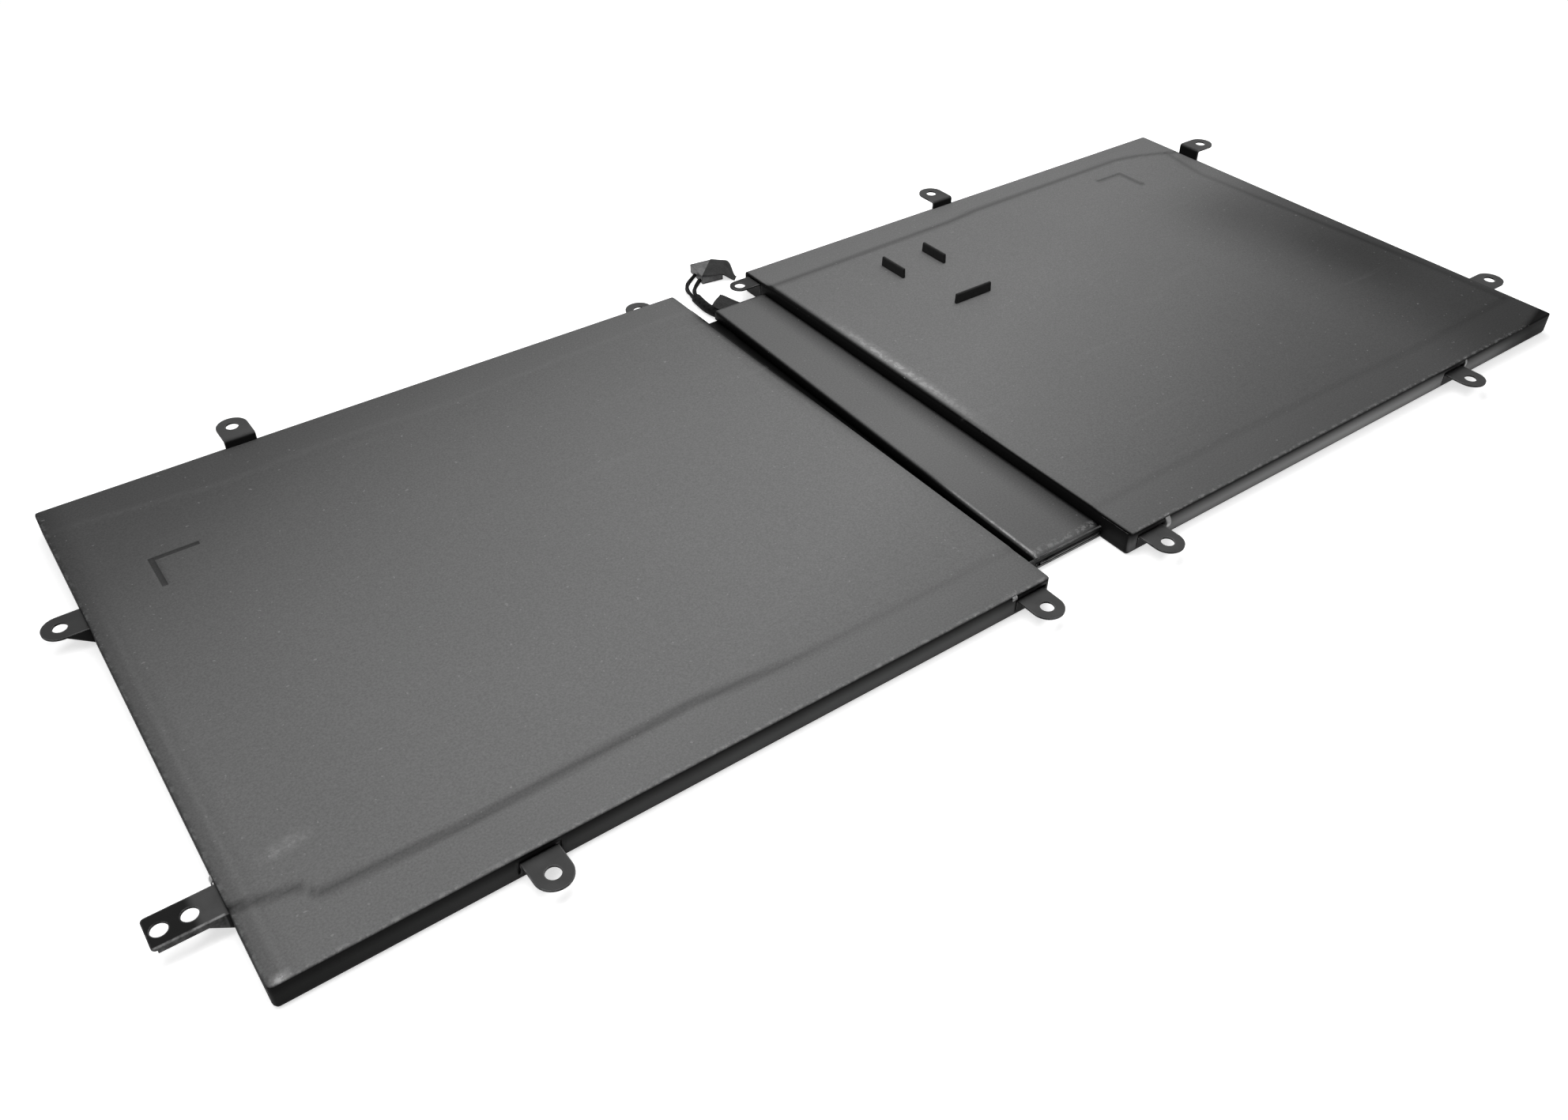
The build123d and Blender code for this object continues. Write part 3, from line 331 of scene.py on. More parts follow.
def frame_material():
    """Black coated sheet: satin top, walls painted darker as shade, painted shade in set places, and
    rounded sheared edges and the bracket's lip with a painted highlight, broken up by wear.
    """
    n = Nodes("coated_sheet")
    flat = n.add("ShaderNodeNewGeometry").outputs["Normal"]
    rounded = n.rounded(SHEET_EDGE)
    inputs = {0: flat, 1: rounded}
    alike = n.make("ShaderNodeVectorMath", inputs, "Value", operation="DOT_PRODUCT")
    edge = n.ramp(alike, [(0.86, 1.0), (0.97, 0.0)])
    wear = n.ramp(n.noise(420.0, 4.0, 0.7), [(0.38, 0.15), (0.62, 1.0)])
    height = n.parts(flat)["Z"]
    # Faces that aren't level are painted near black as shade, and the shaded places darker still
    level = n.ramp(n.math("ABSOLUTE", height), [(0.3, 0.0), (0.9, 1.0)])
    coat = n.ramp(n.noise(150.0, 4.0, 0.6), [(0.3, 0.044), (0.7, 0.062)])
    coat = n.mix(sheet_shade(n, height), n.mix(level, 0.006, coat), 0.0015)
    # Painted highlight along the rounded edges and the bracket's lip, broken up by wear
    lip = n.area(*BRACKET_LIP_HIGHLIGHT)
    painted_highlight = n.math("MAXIMUM", n.math("MULTIPLY", edge, 0.8), n.math("MULTIPLY", lip, 0.7))
    colour = n.mix(n.math("MULTIPLY", painted_highlight, wear), coat, 0.3)
    rough = n.ramp(n.noise(400.0, 3.0, 0.6), [(0.3, 0.36), (0.7, 0.46)])
    normal = n.bump(n.noise(2200.0, 2.0, 0.5), 0.02 * MM, 0.4, rounded)
    return n.finish(colour, rough, normal, specular=SHEET_SPECULAR)


def plain_material(
    name, colour, roughness, scale=900.0, spread=0.2, metallic=0.0, depth=0.03, specular=0.35
):
    """Even material with a fine grain in its tone, roughness and surface."""
    n = Nodes(name)
    low = tuple(c * (1.0 - spread) for c in rgb(colour))
    high = tuple(min(1.0, c * (1.0 + spread)) for c in rgb(colour))
    grain = n.noise(scale, 3.0, 0.6)
    tone = n.ramp(grain, [(0.3, low), (0.7, high)])
    rough_stops = [(0.3, roughness * 0.85), (0.7, min(1.0, roughness * 1.15))]
    rough = n.ramp(n.noise(scale / 4, 3.0, 0.5), rough_stops)
    normal = n.bump(grain, depth * MM, 0.5, n.rounded(0.1 * MM))
    return n.finish(tone, rough, normal, metallic, specular)


def woven_material(name, grey, pitch):
    """Fine woven sleeve: two crossing sets of ridges."""
    n = Nodes(name)
    quarter_turn = (0.0, 0.0, math.radians(90))
    turned = n.make("ShaderNodeMapping", {"Vector": n.place, "Rotation": quarter_turn})
    ridges = [
        n.make("ShaderNodeTexWave", {"Vector": place, "Scale": 0.16 / pitch}, "Fac",
               wave_type="BANDS", bands_direction="DIAGONAL")
        for place in (n.place, turned)
    ]
    height = n.math("MAXIMUM", *ridges)
    tone = n.ramp(height, [(0.2, grey * 0.6), (0.9, grey * 1.4)])
    return n.finish(tone, 0.6, n.bump(height, 0.08 * MM, 0.8), specular=0.05)


# Even materials; scale is the grain's, in features per metre, and depth is in millimetres
PLAIN_LOOKS = {
    "rib_plastic": dict(colour=0.012, roughness=0.5, specular=0.12),
    "cell_laminate": dict(
        colour=(0.62, 0.62, 0.63), roughness=0.35, scale=500.0, spread=0.06, metallic=0.7
    ),
    "aluminium_strip": dict(
        colour=(0.75, 0.75, 0.76), roughness=0.3, scale=600.0, spread=0.06, metallic=1.0
    ),
    "nickel": dict(
        colour=(0.6, 0.58, 0.54), roughness=0.3, scale=600.0, spread=0.08, metallic=1.0
    ),
    "adhesive": dict(colour=(0.75, 0.75, 0.72), roughness=0.8),
    "board_green": dict(colour=(0.02, 0.11, 0.05), roughness=0.35, scale=1500.0),
    "insulator": dict(colour=(0.5, 0.28, 0.06), roughness=0.4, scale=400.0, spread=0.1),
    "chip_black": dict(colour=0.025, roughness=0.5, scale=2500.0),
    "resistor_black": dict(colour=0.03, roughness=0.3, scale=2500.0),
    "capacitor_tan": dict(colour=(0.42, 0.3, 0.2), roughness=0.45, scale=2500.0),
    "shunt_metal": dict(colour=(0.45, 0.4, 0.35), roughness=0.35, spread=0.1, metallic=1.0),
    "strip_plastic": dict(colour=0.03, roughness=0.5),
    "foam": dict(colour=0.04, roughness=0.95, scale=2500.0, spread=0.5, depth=0.1),
    "dark_tape": dict(colour=0.02, roughness=0.55, scale=1800.0, spread=0.35, specular=0.1),
    "wire": dict(colour=0.004, roughness=0.45, scale=1200.0, specular=0.05),
    "plug_plastic": dict(colour=0.11, roughness=0.45, scale=700.0, spread=0.4, specular=0.2),
    "solder": dict(colour=(0.65, 0.65, 0.66), roughness=0.25, spread=0.08, metallic=1.0),
    "glass_bead": dict(colour=(0.35, 0.16, 0.05), roughness=0.15, spread=0.1),
}

MATERIALS = {
    "frame_steel": frame_material(),
    "wing_film": film_material("wing_film", 0.137, 0.95),
    "bridge_film": film_material("bridge_film", 0.121, 0.8, 14.0),
    "sleeve": woven_material("sleeve", 0.006, 0.6 * MM),
    **{slot: plain_material(slot, **look) for slot, look in PLAIN_LOOKS.items()},
}


def dress_cad_nodes():
    """Give every CAD node the material of its slot."""
    slots = {part["node"]: part["material_slot"] for part in frame["record"]["subparts"]}
    for name, node in frame["nodes"].items():
        node.data.materials.clear()
        node.data.materials.append(MATERIALS[slots[name]])


def piece(name, mesh, slot, material=None):
    """New piece on the part's one body, with the material of a slot or one of its own."""
    made = bpy.data.objects.new(name, mesh)
    bpy.context.scene.collection.objects.link(made)
    made.data.materials.append(material or MATERIALS[slot])
    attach(made, "root")
    return made


def finished(name, mesh, rounded=False):
    """Mesh data from a bmesh, which is freed, shaded smooth if it is rounded."""
    if rounded:
        for face in mesh.faces:
            face.smooth = True
    data = bpy.data.meshes.new(name)
    mesh.to_mesh(data)
    mesh.free()
    return data


def skin(mesh, rows, closed=False):
    """Faces between rows of points, also from each row's last point to its first if closed."""
    for first, second in zip(rows, rows[1:]):
        count = len(first)
        for step in range(count if closed else count - 1):
            following = (step + 1) % count
            mesh.faces.new((first[step], first[following], second[following], second[step]))


def thin_sheet(name, rows, thickness, rounded=False):
    """Sheet through rows of places, with a thickness."""
    mesh = bmesh.new()
    skin(mesh, [[mesh.verts.new(place) for place in row] for row in rows])
    for face in mesh.faces:
        face.smooth = rounded
    bmesh.ops.recalc_face_normals(mesh, faces=mesh.faces)
    bmesh.ops.solidify(mesh, geom=mesh.faces[:], thickness=thickness)
    return finished(name, mesh)


def smooth(value):
    """Soft step from 0 to 1."""
    value = min(1.0, max(0.0, value))
    return value * value * (3.0 - 2.0 * value)


def rise(value, start, length):
    """Soft step up from a place, over a length."""
    return smooth((value - start) / length)


def fall(value, end, length):
    """Soft step down to a place, over a length."""
    return smooth((end - value) / length)


def fade(distance, reach):
    """Share that is 1 at no distance and 0 from the reach on."""
    return smooth(1.0 - distance / reach)


def fold_profile(low, high, low_fold, high_fold, drops, inner):
    """Places and drops along one axis: up the low wall, over its fold, across, and down."""
    arc = [math.radians(angle) for angle in (90, 75, 60, 45, 30, 15, 0)]
    places = []
    if low_fold:
        places += [(low, drop) for drop in sorted(drops, reverse=True)]
        places += [(low + low_fold * (1 - math.sin(a)), low_fold * (1 - math.cos(a))) for a in arc]
    else:
        places.append((low, 0.0))
    ends = (low + low_fold, high - high_fold)
    places += [(p, 0.0) for p in inner if ends[0] + SLIVER < p < ends[1] - SLIVER]
    if high_fold:
        arc.reverse()
        places += [(high - high_fold * (1 - math.sin(a)), high_fold * (1 - math.cos(a))) for a in arc]
        places += [(high, drop) for drop in sorted(drops)]
    else:
        places.append((high, 0.0))
    return places


def grid_lines(low, high, exact):
    """Even places across a span, with exact ones put in and near neighbours dropped."""
    count = max(2, round((high - low) / GRID))
    even = [low + (high - low) * i / count for i in range(count + 1)]
    kept = [p for p in even if all(abs(p - e) > GRID * 0.3 for e in exact)]
    return sorted(kept + list(exact))


def disc_corner(x, y, low, high):
    """Round the plan of a point near a corner, by mapping the corner's square on a disc."""
    sides = []
    for value, start, end in ((x, low[0], high[0]), (y, low[1], high[1])):
        if value < start + CORNER:
            sides.append((-1.0, start + CORNER, (start + CORNER - value) / CORNER))
        elif value > end - CORNER:
            sides.append((1.0, end - CORNER, (value - end + CORNER) / CORNER))
        else:
            return x, y
    (sign_x, centre_x, a), (sign_y, centre_y, b) = sides
    round_a = a * math.sqrt(1.0 - b * b / 2.0)
    round_b = b * math.sqrt(1.0 - a * a / 2.0)
    return centre_x + sign_x * round_a * CORNER, centre_y + sign_y * round_b * CORNER


def hood_mesh(name, box, folds, top, crease, lines, windows=(), shape=None):
    """Film hood: height-field top, soft folds and skirts with windows cut in them.

    folds holds the fold radius at left, right, front and rear, or 0 where the film just ends.
    The function after top gives the painted shade of the top at a point, above 0, and its painted
    highlights and rubbed places, below 0, which the film's material reads.
    windows holds (side, start, end, drop) for each opening under a lip that hangs down drop.
    shape moves the points of a hood whose plan isn't a rectangle with round corners.
    """
    low, high = box[0][:2], box[1][:2]
    depth = max(top(*low), top(*high)) - SKIRT_BOTTOM
    drops = [WINDOW_LIP, depth]
    columns = fold_profile(low[0], high[0], folds[0], folds[1], drops, lines[0])
    rows = fold_profile(low[1], high[1], folds[2], folds[3], drops, lines[1])
    mesh = bmesh.new()
    shade = mesh.verts.layers.float.new("crease")
    worn = mesh.verts.layers.float.new("fold")
    grid = []
    for x, x_drop in columns:
        column = []
        for y, y_drop in rows:
            drop = max(x_drop, y_drop)
            plan = shape(x, y) if shape else disc_corner(x, y, low, high)
            z = max(SKIRT_BOTTOM, top(x, y) - drop) if drop < depth else SKIRT_BOTTOM
            vert = mesh.verts.new((*plan, z))
            vert[shade] = crease(x, y)
            on_front = y - low[1] < 1.2 * folds[2] and drop < 0.6 * FOLD
            on_left = x - ORIGIN_X < 1.2 * FOLD and drop < 0.4 * FOLD
            if vert[shade] < UNRUBBED_SHADE:
                vert[worn] = FRONT_WEAR if on_front else LEFT_WEAR if on_left else 0.0
            column.append(vert)
        grid.append(column)

    def open_here(i, j):
        """Whether the face that starts at this place lies in a window."""
        x = (columns[i][0] + columns[i + 1][0]) / 2
        y = (rows[j][0] + rows[j + 1][0]) / 2
        x_drop = min(columns[i][1], columns[i + 1][1])
        y_drop = min(rows[j][1], rows[j + 1][1])
        near = {
            "left": x < low[0] + CORNER,
            "right": x > high[0] - CORNER,
            "front": y < low[1] + CORNER,
            "rear": y > high[1] - CORNER,
        }
        for side, start, end, lip in windows:
            along, drop = (y, x_drop) if side in ("left", "right") else (x, y_drop)
            if near[side] and start < along < end and drop > lip - TOUCH:
                return True
        return False

    for i in range(len(columns) - 1):
        for j in range(len(rows) - 1):
            if not open_here(i, j):
                mesh.faces.new((grid[i][j], grid[i + 1][j], grid[i + 1][j + 1], grid[i][j + 1]))
    bmesh.ops.remove_doubles(mesh, verts=mesh.verts, dist=WELD)
    bmesh.ops.dissolve_degenerate(mesh, edges=mesh.edges, dist=WELD)
    loose = [v for v in mesh.verts if not v.link_faces]
    bmesh.ops.delete(mesh, geom=loose, context="VERTS")
    return finished(name, mesh, rounded=True)


def film_piece(name, mesh, slot):
    """Film with its thickness, grown inward from the outer face."""
    made = piece(name, mesh, slot)
    solid = made.modifiers.new("thickness", "SOLIDIFY")
    solid.thickness = FILM_THICKNESS
    solid.offset = -1.0
    solid.use_even_offset = False
    return made


def bar_step(value, edge, rising=True):
    """Soft step across an edge, in metres."""
    share = smooth((value - edge) / SMOOTH_STEP + 0.5)
    return share if rising else 1.0 - share


def piecewise(value, points):
    """Height of a line through points, held level past its ends."""
    if value <= points[0][0]:
        return points[0][1]
    for (x0, y0), (x1, y1) in zip(points, points[1:]):
        if value <= x1:
            return y0 + (y1 - y0) * (value - x0) / (x1 - x0)
    return points[-1][1]


# Lines of the steps under the films, in millimetres across and in depth
LEFT_FRONT_STEP = [
    (0, 17.6), (11.4, 15.0), (12.4, 12.2), (38, 11.3), (83, 12.8), (105, 10.9), (162, 11.2)
]
LEFT_REAR_STEP = [
    (0, 133.6), (11, 133.0), (37, 129.9), (65, 131.6), (93, 129.9), (125, 132.6), (162, 134.0)
]
RIGHT_FRONT_STEP = [(185, 11.0), (230, 12.0), (300, 10.6), (344, 11.6)]
RIGHT_REAR_STEP = [
    (185, 131.8), (251, 133.1), (262, 134.3), (322, 135.2), (331, 133.4), (344, 128.0)
]

# Line of the step beside the right end, in millimetres in depth and across
RIGHT_SIDE_STEP = [(0, 341.4), (32, 341.0), (112, 336.5), (120, 338.0), (143, 343.0)]


# Waves of the stretched film: height, number per metre, and level in the noise
WAVES = [(0.05 * MM, 26.0, 0.3), (0.02 * MM, 90.0, 4.7)]


def film_waves(x, y):
    """Slight waviness of the stretched film."""
    return sum(
        height * noise.noise(Vector((x * scale, y * scale, level)))
        for height, scale, level in WAVES
    )


# L-shaped marks: their outer corners, and the length, width and relief of their arms
LEFT_MARK = at(15.2, 112.8)
RIGHT_MARK = at(317.0, 128.4)
MARK_ARM = 10.5 * MM
MARK_WIDTH = 1.2 * MM
MARK_RELIEF = 0.13 * MM


def mark_height(x, y, corner, x_sign, relief):
    """Height that an L-shaped mark adds at a point; relief is negative for a sunk one."""
    along = (x - corner.x) * x_sign
    down = corner.y - y
    in_first = -TOUCH < along < MARK_ARM and -TOUCH < down < MARK_WIDTH + TOUCH
    in_second = -TOUCH < along < MARK_WIDTH + TOUCH and -TOUCH < down < MARK_ARM
    return relief if in_first or in_second else 0.0


def measured(x, y):
    """Millimetres across and in depth of a point, from the pack's front left corner."""
    return (x - ORIGIN_X) / MM, (y - ORIGIN_Y) / MM


def left_steps(across):
    """Places of the left film's front and rear steps."""
    return [ORIGIN_Y + piecewise(across, line) * MM for line in (LEFT_FRONT_STEP, LEFT_REAR_STEP)]


def right_steps(across, depth):
    """Places of the right film's front, rear and side steps."""
    lines = (RIGHT_FRONT_STEP, RIGHT_REAR_STEP)
    front, rear = (ORIGIN_Y + piecewise(across, line) * MM for line in lines)
    return front, rear, ORIGIN_X + piecewise(depth, RIGHT_SIDE_STEP) * MM


def wing_height(x, y, raised):
    """Height of a wing's top without its mark, where raised is the share of the step."""
    return WING_TOP - MARGIN_DROP + STEP * raised + film_waves(x, y) * 0.5


def left_top(x, y):
    """Height of the left film's top."""
    front, rear = left_steps(measured(x, y)[0])
    raised = bar_step(y, front) * bar_step(y, rear, False)
    return wing_height(x, y, raised) + mark_height(x, y, LEFT_MARK, 1.0, -MARK_RELIEF)


def right_top(x, y):
    """Height of the right film's top."""
    front, rear, side = right_steps(*measured(x, y))
    raised = bar_step(y, front) * bar_step(y, rear, False) * bar_step(x, side, False)
    return wing_height(x, y, raised) + mark_height(x, y, RIGHT_MARK, -1.0, 1.4 * MARK_RELIEF)


# Middles of places on the films, in millimetres across and in depth: a paler patch, a chipped corner,
# a spot of painted shade and a painted highlight on the rolled edge
PALE_PATCH = (12.0, 24.5)
CORNER_CHIP = (2.4, 0.5)
SHADED_SPOT = (333.0, 52.0)
HIGHLIGHT_EDGE = (187.9, 80.0)


def near_line(value, edge):
    """Share of the painted shade or highlight along a step line, at a distance from the line."""
    return fade(abs(value - edge), PAINTED_STEP_WIDTH)


def left_light_and_wear(x, y):
    """Painted shade and painted highlights of the left film, with its rubbed and chipped places:
    above 0 darker, below 0 paler.
    """
    across, depth = measured(x, y)
    front, rear = left_steps(across)
    # Painted shade along the front step, in the sunk mark's outline, along the left edge and down
    # into the groove
    step = near_line(y, front) * (1.0 - 0.7 * rise(across, 85.0, 40.0))
    mark = 1.3 * mark_height(x, y, LEFT_MARK, 1.0, 1.0)
    left_edge = 0.65 * fade(across, 7.0) + 0.7 * fade(across, 0.9)
    to_groove = LEFT_WING_WIDTH - across
    groove_shade = 2.2 * fade(to_groove, 2.0) + 0.6 * fade(to_groove, 6.0)
    groove_shade *= 0.15 + 0.85 * rise(depth, 45.0, 55.0) * fall(depth, 133.0, 6.0)
    # Paler: a pale slanting patch, a pale dotted line, the chipped front corner, and a painted
    # highlight along the rear step
    pale_patch_line = PALE_PATCH[1] + 0.12 * (across - PALE_PATCH[0])
    pale_patch = fade(abs(across - PALE_PATCH[0]), 6.0) * fade(abs(depth - pale_patch_line), 2.4)
    dotted = fade(abs(across - 3.2), 0.5) * fall(depth, 120.0, 40.0)
    to_chip = math.hypot((across - CORNER_CHIP[0]) / 1.3, depth - CORNER_CHIP[1])
    pale = 0.1 * near_line(y, rear) + 0.35 * dotted + 0.7 * pale_patch + 3.0 * fade(to_chip, 1.8)
    return step + mark + left_edge + groove_shade - pale


def right_painted_light(x, y):
    """Painted shade and a painted highlight on the right film: above 0 darker, below 0 paler."""
    across, depth = measured(x, y)
    front, rear, side = right_steps(across, depth)
    inside = bar_step(y, front) * bar_step(y, rear, False)
    # Painted shade along the steps, towards the right end, on a spot and in the front right corner
    steps = 0.2 * near_line(y, front) + near_line(y, rear) + 0.6 * near_line(x, side) * inside
    end = 0.9 * rise(across, 294.0, 34.0) * fall(depth, 116.0, 34.0)
    to_spot = math.hypot((across - SHADED_SPOT[0]) / 24.0, (depth - SHADED_SPOT[1]) / 34.0)
    spot = 0.5 * smooth(1.0 - to_spot)
    corner = 2.3 * smooth(1.5 - 1.5 * (RIGHT_END_X - across) / 17.0 - 1.5 * depth / 5.0)
    # Painted highlight along the rolled left edge
    wear_and_highlight = fade(abs(across - HIGHLIGHT_EDGE[0]), 2.4) * fade(abs(depth - HIGHLIGHT_EDGE[1]), 38.0)
    # Painted shade over the lip by the bridge, and the painted shadow of the raised mark
    lip_width = 0.8 + 0.9 * rise(depth, 35.0, 40.0) * fall(depth, 136.0, 8.0)
    lip = 2.4 * smooth(1.5 - (across - RIGHT_WING_START) / lip_width)
    shadow = RIGHT_MARK - Vector((0.3 * MM, 0.8 * MM, 0.0))
    mark = 0.5 * mark_height(x, y, shadow, -1.0, 1.0)
    return steps + end + spot + corner + lip + mark - 1.5 * wear_and_highlight


def mark_lines(corner, x_sign):
    """Exact grid lines along the edges of an L-shaped mark."""
    edge = 0.06 * MM
    across = []
    down = []
    for reach in (0.0, MARK_WIDTH, MARK_ARM):
        for shift in (-edge, edge):
            across.append(corner.x + x_sign * (reach + shift))
            down.append(corner.y - reach - shift)
    return across, down


def tab_windows(side, places, lip, half=TAB_HALF_WINDOW):
    """Windows round the tabs of one side; places are in millimetres along it."""
    start = ORIGIN_X if side in ("front", "rear") else ORIGIN_Y
    return [(side, start + p * MM - half, start + p * MM + half, lip) for p in places]


def wing_film(name, node, box, folds, top, crease, mark, x_sign, windows):
    """Film hood over one wing, in the place of its CAD solid."""
    across, down = mark_lines(mark, x_sign)
    exact_x = across + [v for s, a, b, _ in windows if s in ("front", "rear") for v in (a, b)]
    exact_y = down + [v for s, a, b, _ in windows if s in ("left", "right") for v in (a, b)]
    lines = (grid_lines(box[0][0], box[1][0], exact_x), grid_lines(box[0][1], box[1][1], exact_y))
    made = film_piece(name, hood_mesh(name, box, folds, top, crease, lines, windows), "wing_film")
    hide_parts(node)


def build_films():
    """The two wings' films with their windows for the tabs and the bridge."""
    left_windows = (
        tab_windows("front", FRONT_TABS_LEFT, WINDOW_LIP)
        + tab_windows("rear", REAR_TABS_LEFT, WINDOW_LIP)
        + tab_windows("left", LEFT_SIDE_TABS, FLUSH_LIP)
    )
    bridge_place = BRIDGE_MIDDLE / MM - ORIGIN_Y / MM
    bridge_half = (BRIDGE_BOX[1][1] - BRIDGE_BOX[0][1]) / 2
    right_windows = (
        tab_windows("front", FRONT_TABS_RIGHT, WINDOW_LIP)
        + tab_windows("rear", REAR_TABS_RIGHT, WINDOW_LIP)
        + tab_windows("right", RIGHT_SIDE_TABS, FLUSH_LIP)
        + tab_windows("left", (NOTCH_TAB,), FLUSH_LIP, NOTCH_TAB_HALF_WINDOW)
        + tab_windows("left", (bridge_place,), WING_TOP - BRIDGE_BOX[1][2], bridge_half)
    )
    wing_film("left_film", "left_cover_film", LEFT_BOX, (FOLD, INNER_FOLD, FOLD, FOLD),
              left_top, left_light_and_wear, LEFT_MARK, 1.0, left_windows)
    wing_film("right_film", "right_cover_film", RIGHT_BOX, (INNER_FOLD, FOLD, FOLD, FOLD),
              right_top, right_painted_light, RIGHT_MARK, -1.0, right_windows)


def bridge_top(x, y):
    """Height of the bridge cover's top, with a faint hollow over the board."""
    hollow = 0.03 * MM * math.cos((y - BRIDGE_MIDDLE) * 40.0)
    return BRIDGE_BOX[1][2] - 0.06 * MM + hollow * 0.5 + film_waves(x, y) * 0.5


# Left side of the bridge at its front and rear, in millimetres from the pack's left end
BRIDGE_FRONT_LEFT = 165.9
BRIDGE_REAR_LEFT = 168.9


def bridge_painted_light(x, y):
    """Painted shade beside the right wing's wall and down the groove, and a painted highlight along
    the left edge near the front.
    """
    across, depth = measured(x, y)
    to_wall = RIGHT_WING_START - across
    shaded = 1.3 * fade(to_wall, 8.0) + 1.2 * fade(to_wall, 1.2)
    from_groove = across - BRIDGE_FRONT_LEFT
    # Painted shade down the slope into the groove, and a painted highlight along the left ridge near
    # the front
    slope = 2.4 * fade(from_groove, 1.3) * (0.3 + 0.7 * rise(depth, 20.0, 26.0))
    wear_and_highlight = fade(abs(from_groove - 0.6), 0.3) * fall(depth, 44.0, 14.0)
    return shaded + slope - 3.0 * wear_and_highlight


def bridge_shape(x, y):
    """Slant the bridge's left side: narrow groove at the front, wide at the rear."""
    (start, front, _), (right, rear, _) = BRIDGE_BOX
    front_left = ORIGIN_X + BRIDGE_FRONT_LEFT * MM
    rear_left = ORIGIN_X + BRIDGE_REAR_LEFT * MM
    left = front_left + (rear_left - front_left) * (y - front) / (rear - front)
    return left + (right - left) * (x - start) / (right - start), y


def build_bridge():
    """Low folded cover between the wings."""
    lines = [grid_lines(BRIDGE_BOX[0][axis], BRIDGE_BOX[1][axis], []) for axis in (0, 1)]
    folds = (BRIDGE_LEFT_FOLD, 0.0, BRIDGE_FRONT_FOLD, 0.0)
    data = hood_mesh("bridge_film", BRIDGE_BOX, folds, bridge_top, bridge_painted_light, lines,
                     shape=bridge_shape)
    made = film_piece("bridge_film", data, "bridge_film")
    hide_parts("bridge_cover")


def rounded_block(name, box, slot, radius, segments=4, draft=0.0):
    """Moulded bar with rounded edges, drawn in a little towards its top."""
    low = Vector(box[0])
    high = Vector(box[1])
    mesh = bmesh.new()
    bmesh.ops.create_cube(mesh, size=1.0)
    for vert in mesh.verts:
        inward = draft if vert.co.z > 0 else 0.0
        vert.co.x = low.x + inward if vert.co.x < 0 else high.x - inward
        vert.co.y = low.y + inward if vert.co.y < 0 else high.y - inward
        vert.co.z = low.z if vert.co.z < 0 else high.z
    made = piece(name, finished(name, mesh, rounded=True), slot)
    bevel = made.modifiers.new("edges", "BEVEL")
    bevel.width = radius
    bevel.segments = segments
    bevel.harden_normals = True
    return made


RIB_WIDTH = 1.0 * MM
RIB_EDGE = 0.3 * MM
RIB_DRAFT = 0.1 * MM
RAIL_DROP = 0.2 * MM
RAIL_EDGE = 1.1 * MM


def build_ribs():
    """The three ribs on the right wing: a pair of guides, and a stop."""
    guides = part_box("cable_guide_ribs")
    bars = [("stop_rib", "cable_stop_rib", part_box("cable_stop_rib"))]
    for name, start in (("left", guides[0][0]), ("right", guides[1][0] - RIB_WIDTH)):
        box = ((start, *guides[0][1:]), (start + RIB_WIDTH, *guides[1][1:]))
        bars.append(("guide_rib_" + name, "cable_guide_ribs", box))
    for name, node, box in bars:
        made = rounded_block(name, box, "rib_plastic", RIB_EDGE, draft=RIB_DRAFT)
        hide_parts(node)


def build_rails():
    """Rounded rails under the films beside the bridge."""
    for node in ("left_inner_rail", "right_inner_rail"):
        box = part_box(node)
        high = (box[1][0], box[1][1], box[1][2] - RAIL_DROP)
        made = rounded_block(node + "_bar", (box[0], high), "strip_plastic", RAIL_EDGE, 5)
        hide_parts(node)


# Lead: control points of its route, repeated from the part, in millimetres right of and
# behind the left wing's rear right corner
LEAD_CORNER = (162.0, 143.0)
LEAD_LINE = [
    (10.6, -20.0, 1.83), (9.4, -11.8, 1.83), (7.8, -5.8, 1.6), (8.2, -0.2, 1.4), (8.9, 4.2, 1.36),
]
LEFT_END = [(9.3, 8.0, 0.95), (11.1, 11.0, 0.7), (13.6, 12.9, 0.8), (15.85, 14.1, 1.1)]
RIGHT_END = [(11.0, 7.1, 0.9), (13.0, 9.3, 0.7), (15.4, 10.9, 1.1)]
BUNDLE_SPACING = 1.1

# Wires of a bundle: their number, radius, distance from the bundle's line, and twist
WIRES = 4
WIRE_RADIUS = 0.28 * MM
WIRE_OFFSET = 0.31 * MM
TURNS_PER_METRE = 28.0

# Sleeve: diameter and wall, its ends as shares of the lead's line, and where its mouth widens
SLEEVE = 2.7 * MM
SLEEVE_WALL = 0.2 * MM
SLEEVE_ENDS = (0.2, 0.92)
MOUTH_START = 0.85


def route_curve(name, points):
    """NURBS curve with a route's points as its control points."""
    data = bpy.data.curves.new(name, "CURVE")
    data.dimensions = "3D"
    data.resolution_u = 24
    spline = data.splines.new("NURBS")
    spline.points.add(len(points) - 1)
    for target, (x, y, z) in zip(spline.points, points):
        target.co = (*at(LEAD_CORNER[0] + x, LEAD_CORNER[1] + y, z), 1.0)
    spline.order_u = 3
    spline.use_endpoint_u = True
    return data


def curve_points(data):
    """Points along a curve."""
    holder = bpy.data.objects.new("probe", data)
    bpy.context.scene.collection.objects.link(holder)
    graph = bpy.context.evaluated_depsgraph_get()
    mesh = bpy.data.meshes.new_from_object(holder.evaluated_get(graph))
    points = [v.co.copy() for v in mesh.vertices]
    bpy.data.objects.remove(holder)
    bpy.data.meshes.remove(mesh)
    return points


def ring_frames(points):
    """Each point of a line with its level side direction and its upward direction."""
    frames = []
    for index, point in enumerate(points):
        before = points[max(0, index - 1)]
        after = points[min(len(points) - 1, index + 1)]
        along = (after - before).normalized()
        side = along.cross(Vector((0, 0, 1))).normalized()
        frames.append((point, side, side.cross(along).normalized()))
    return frames


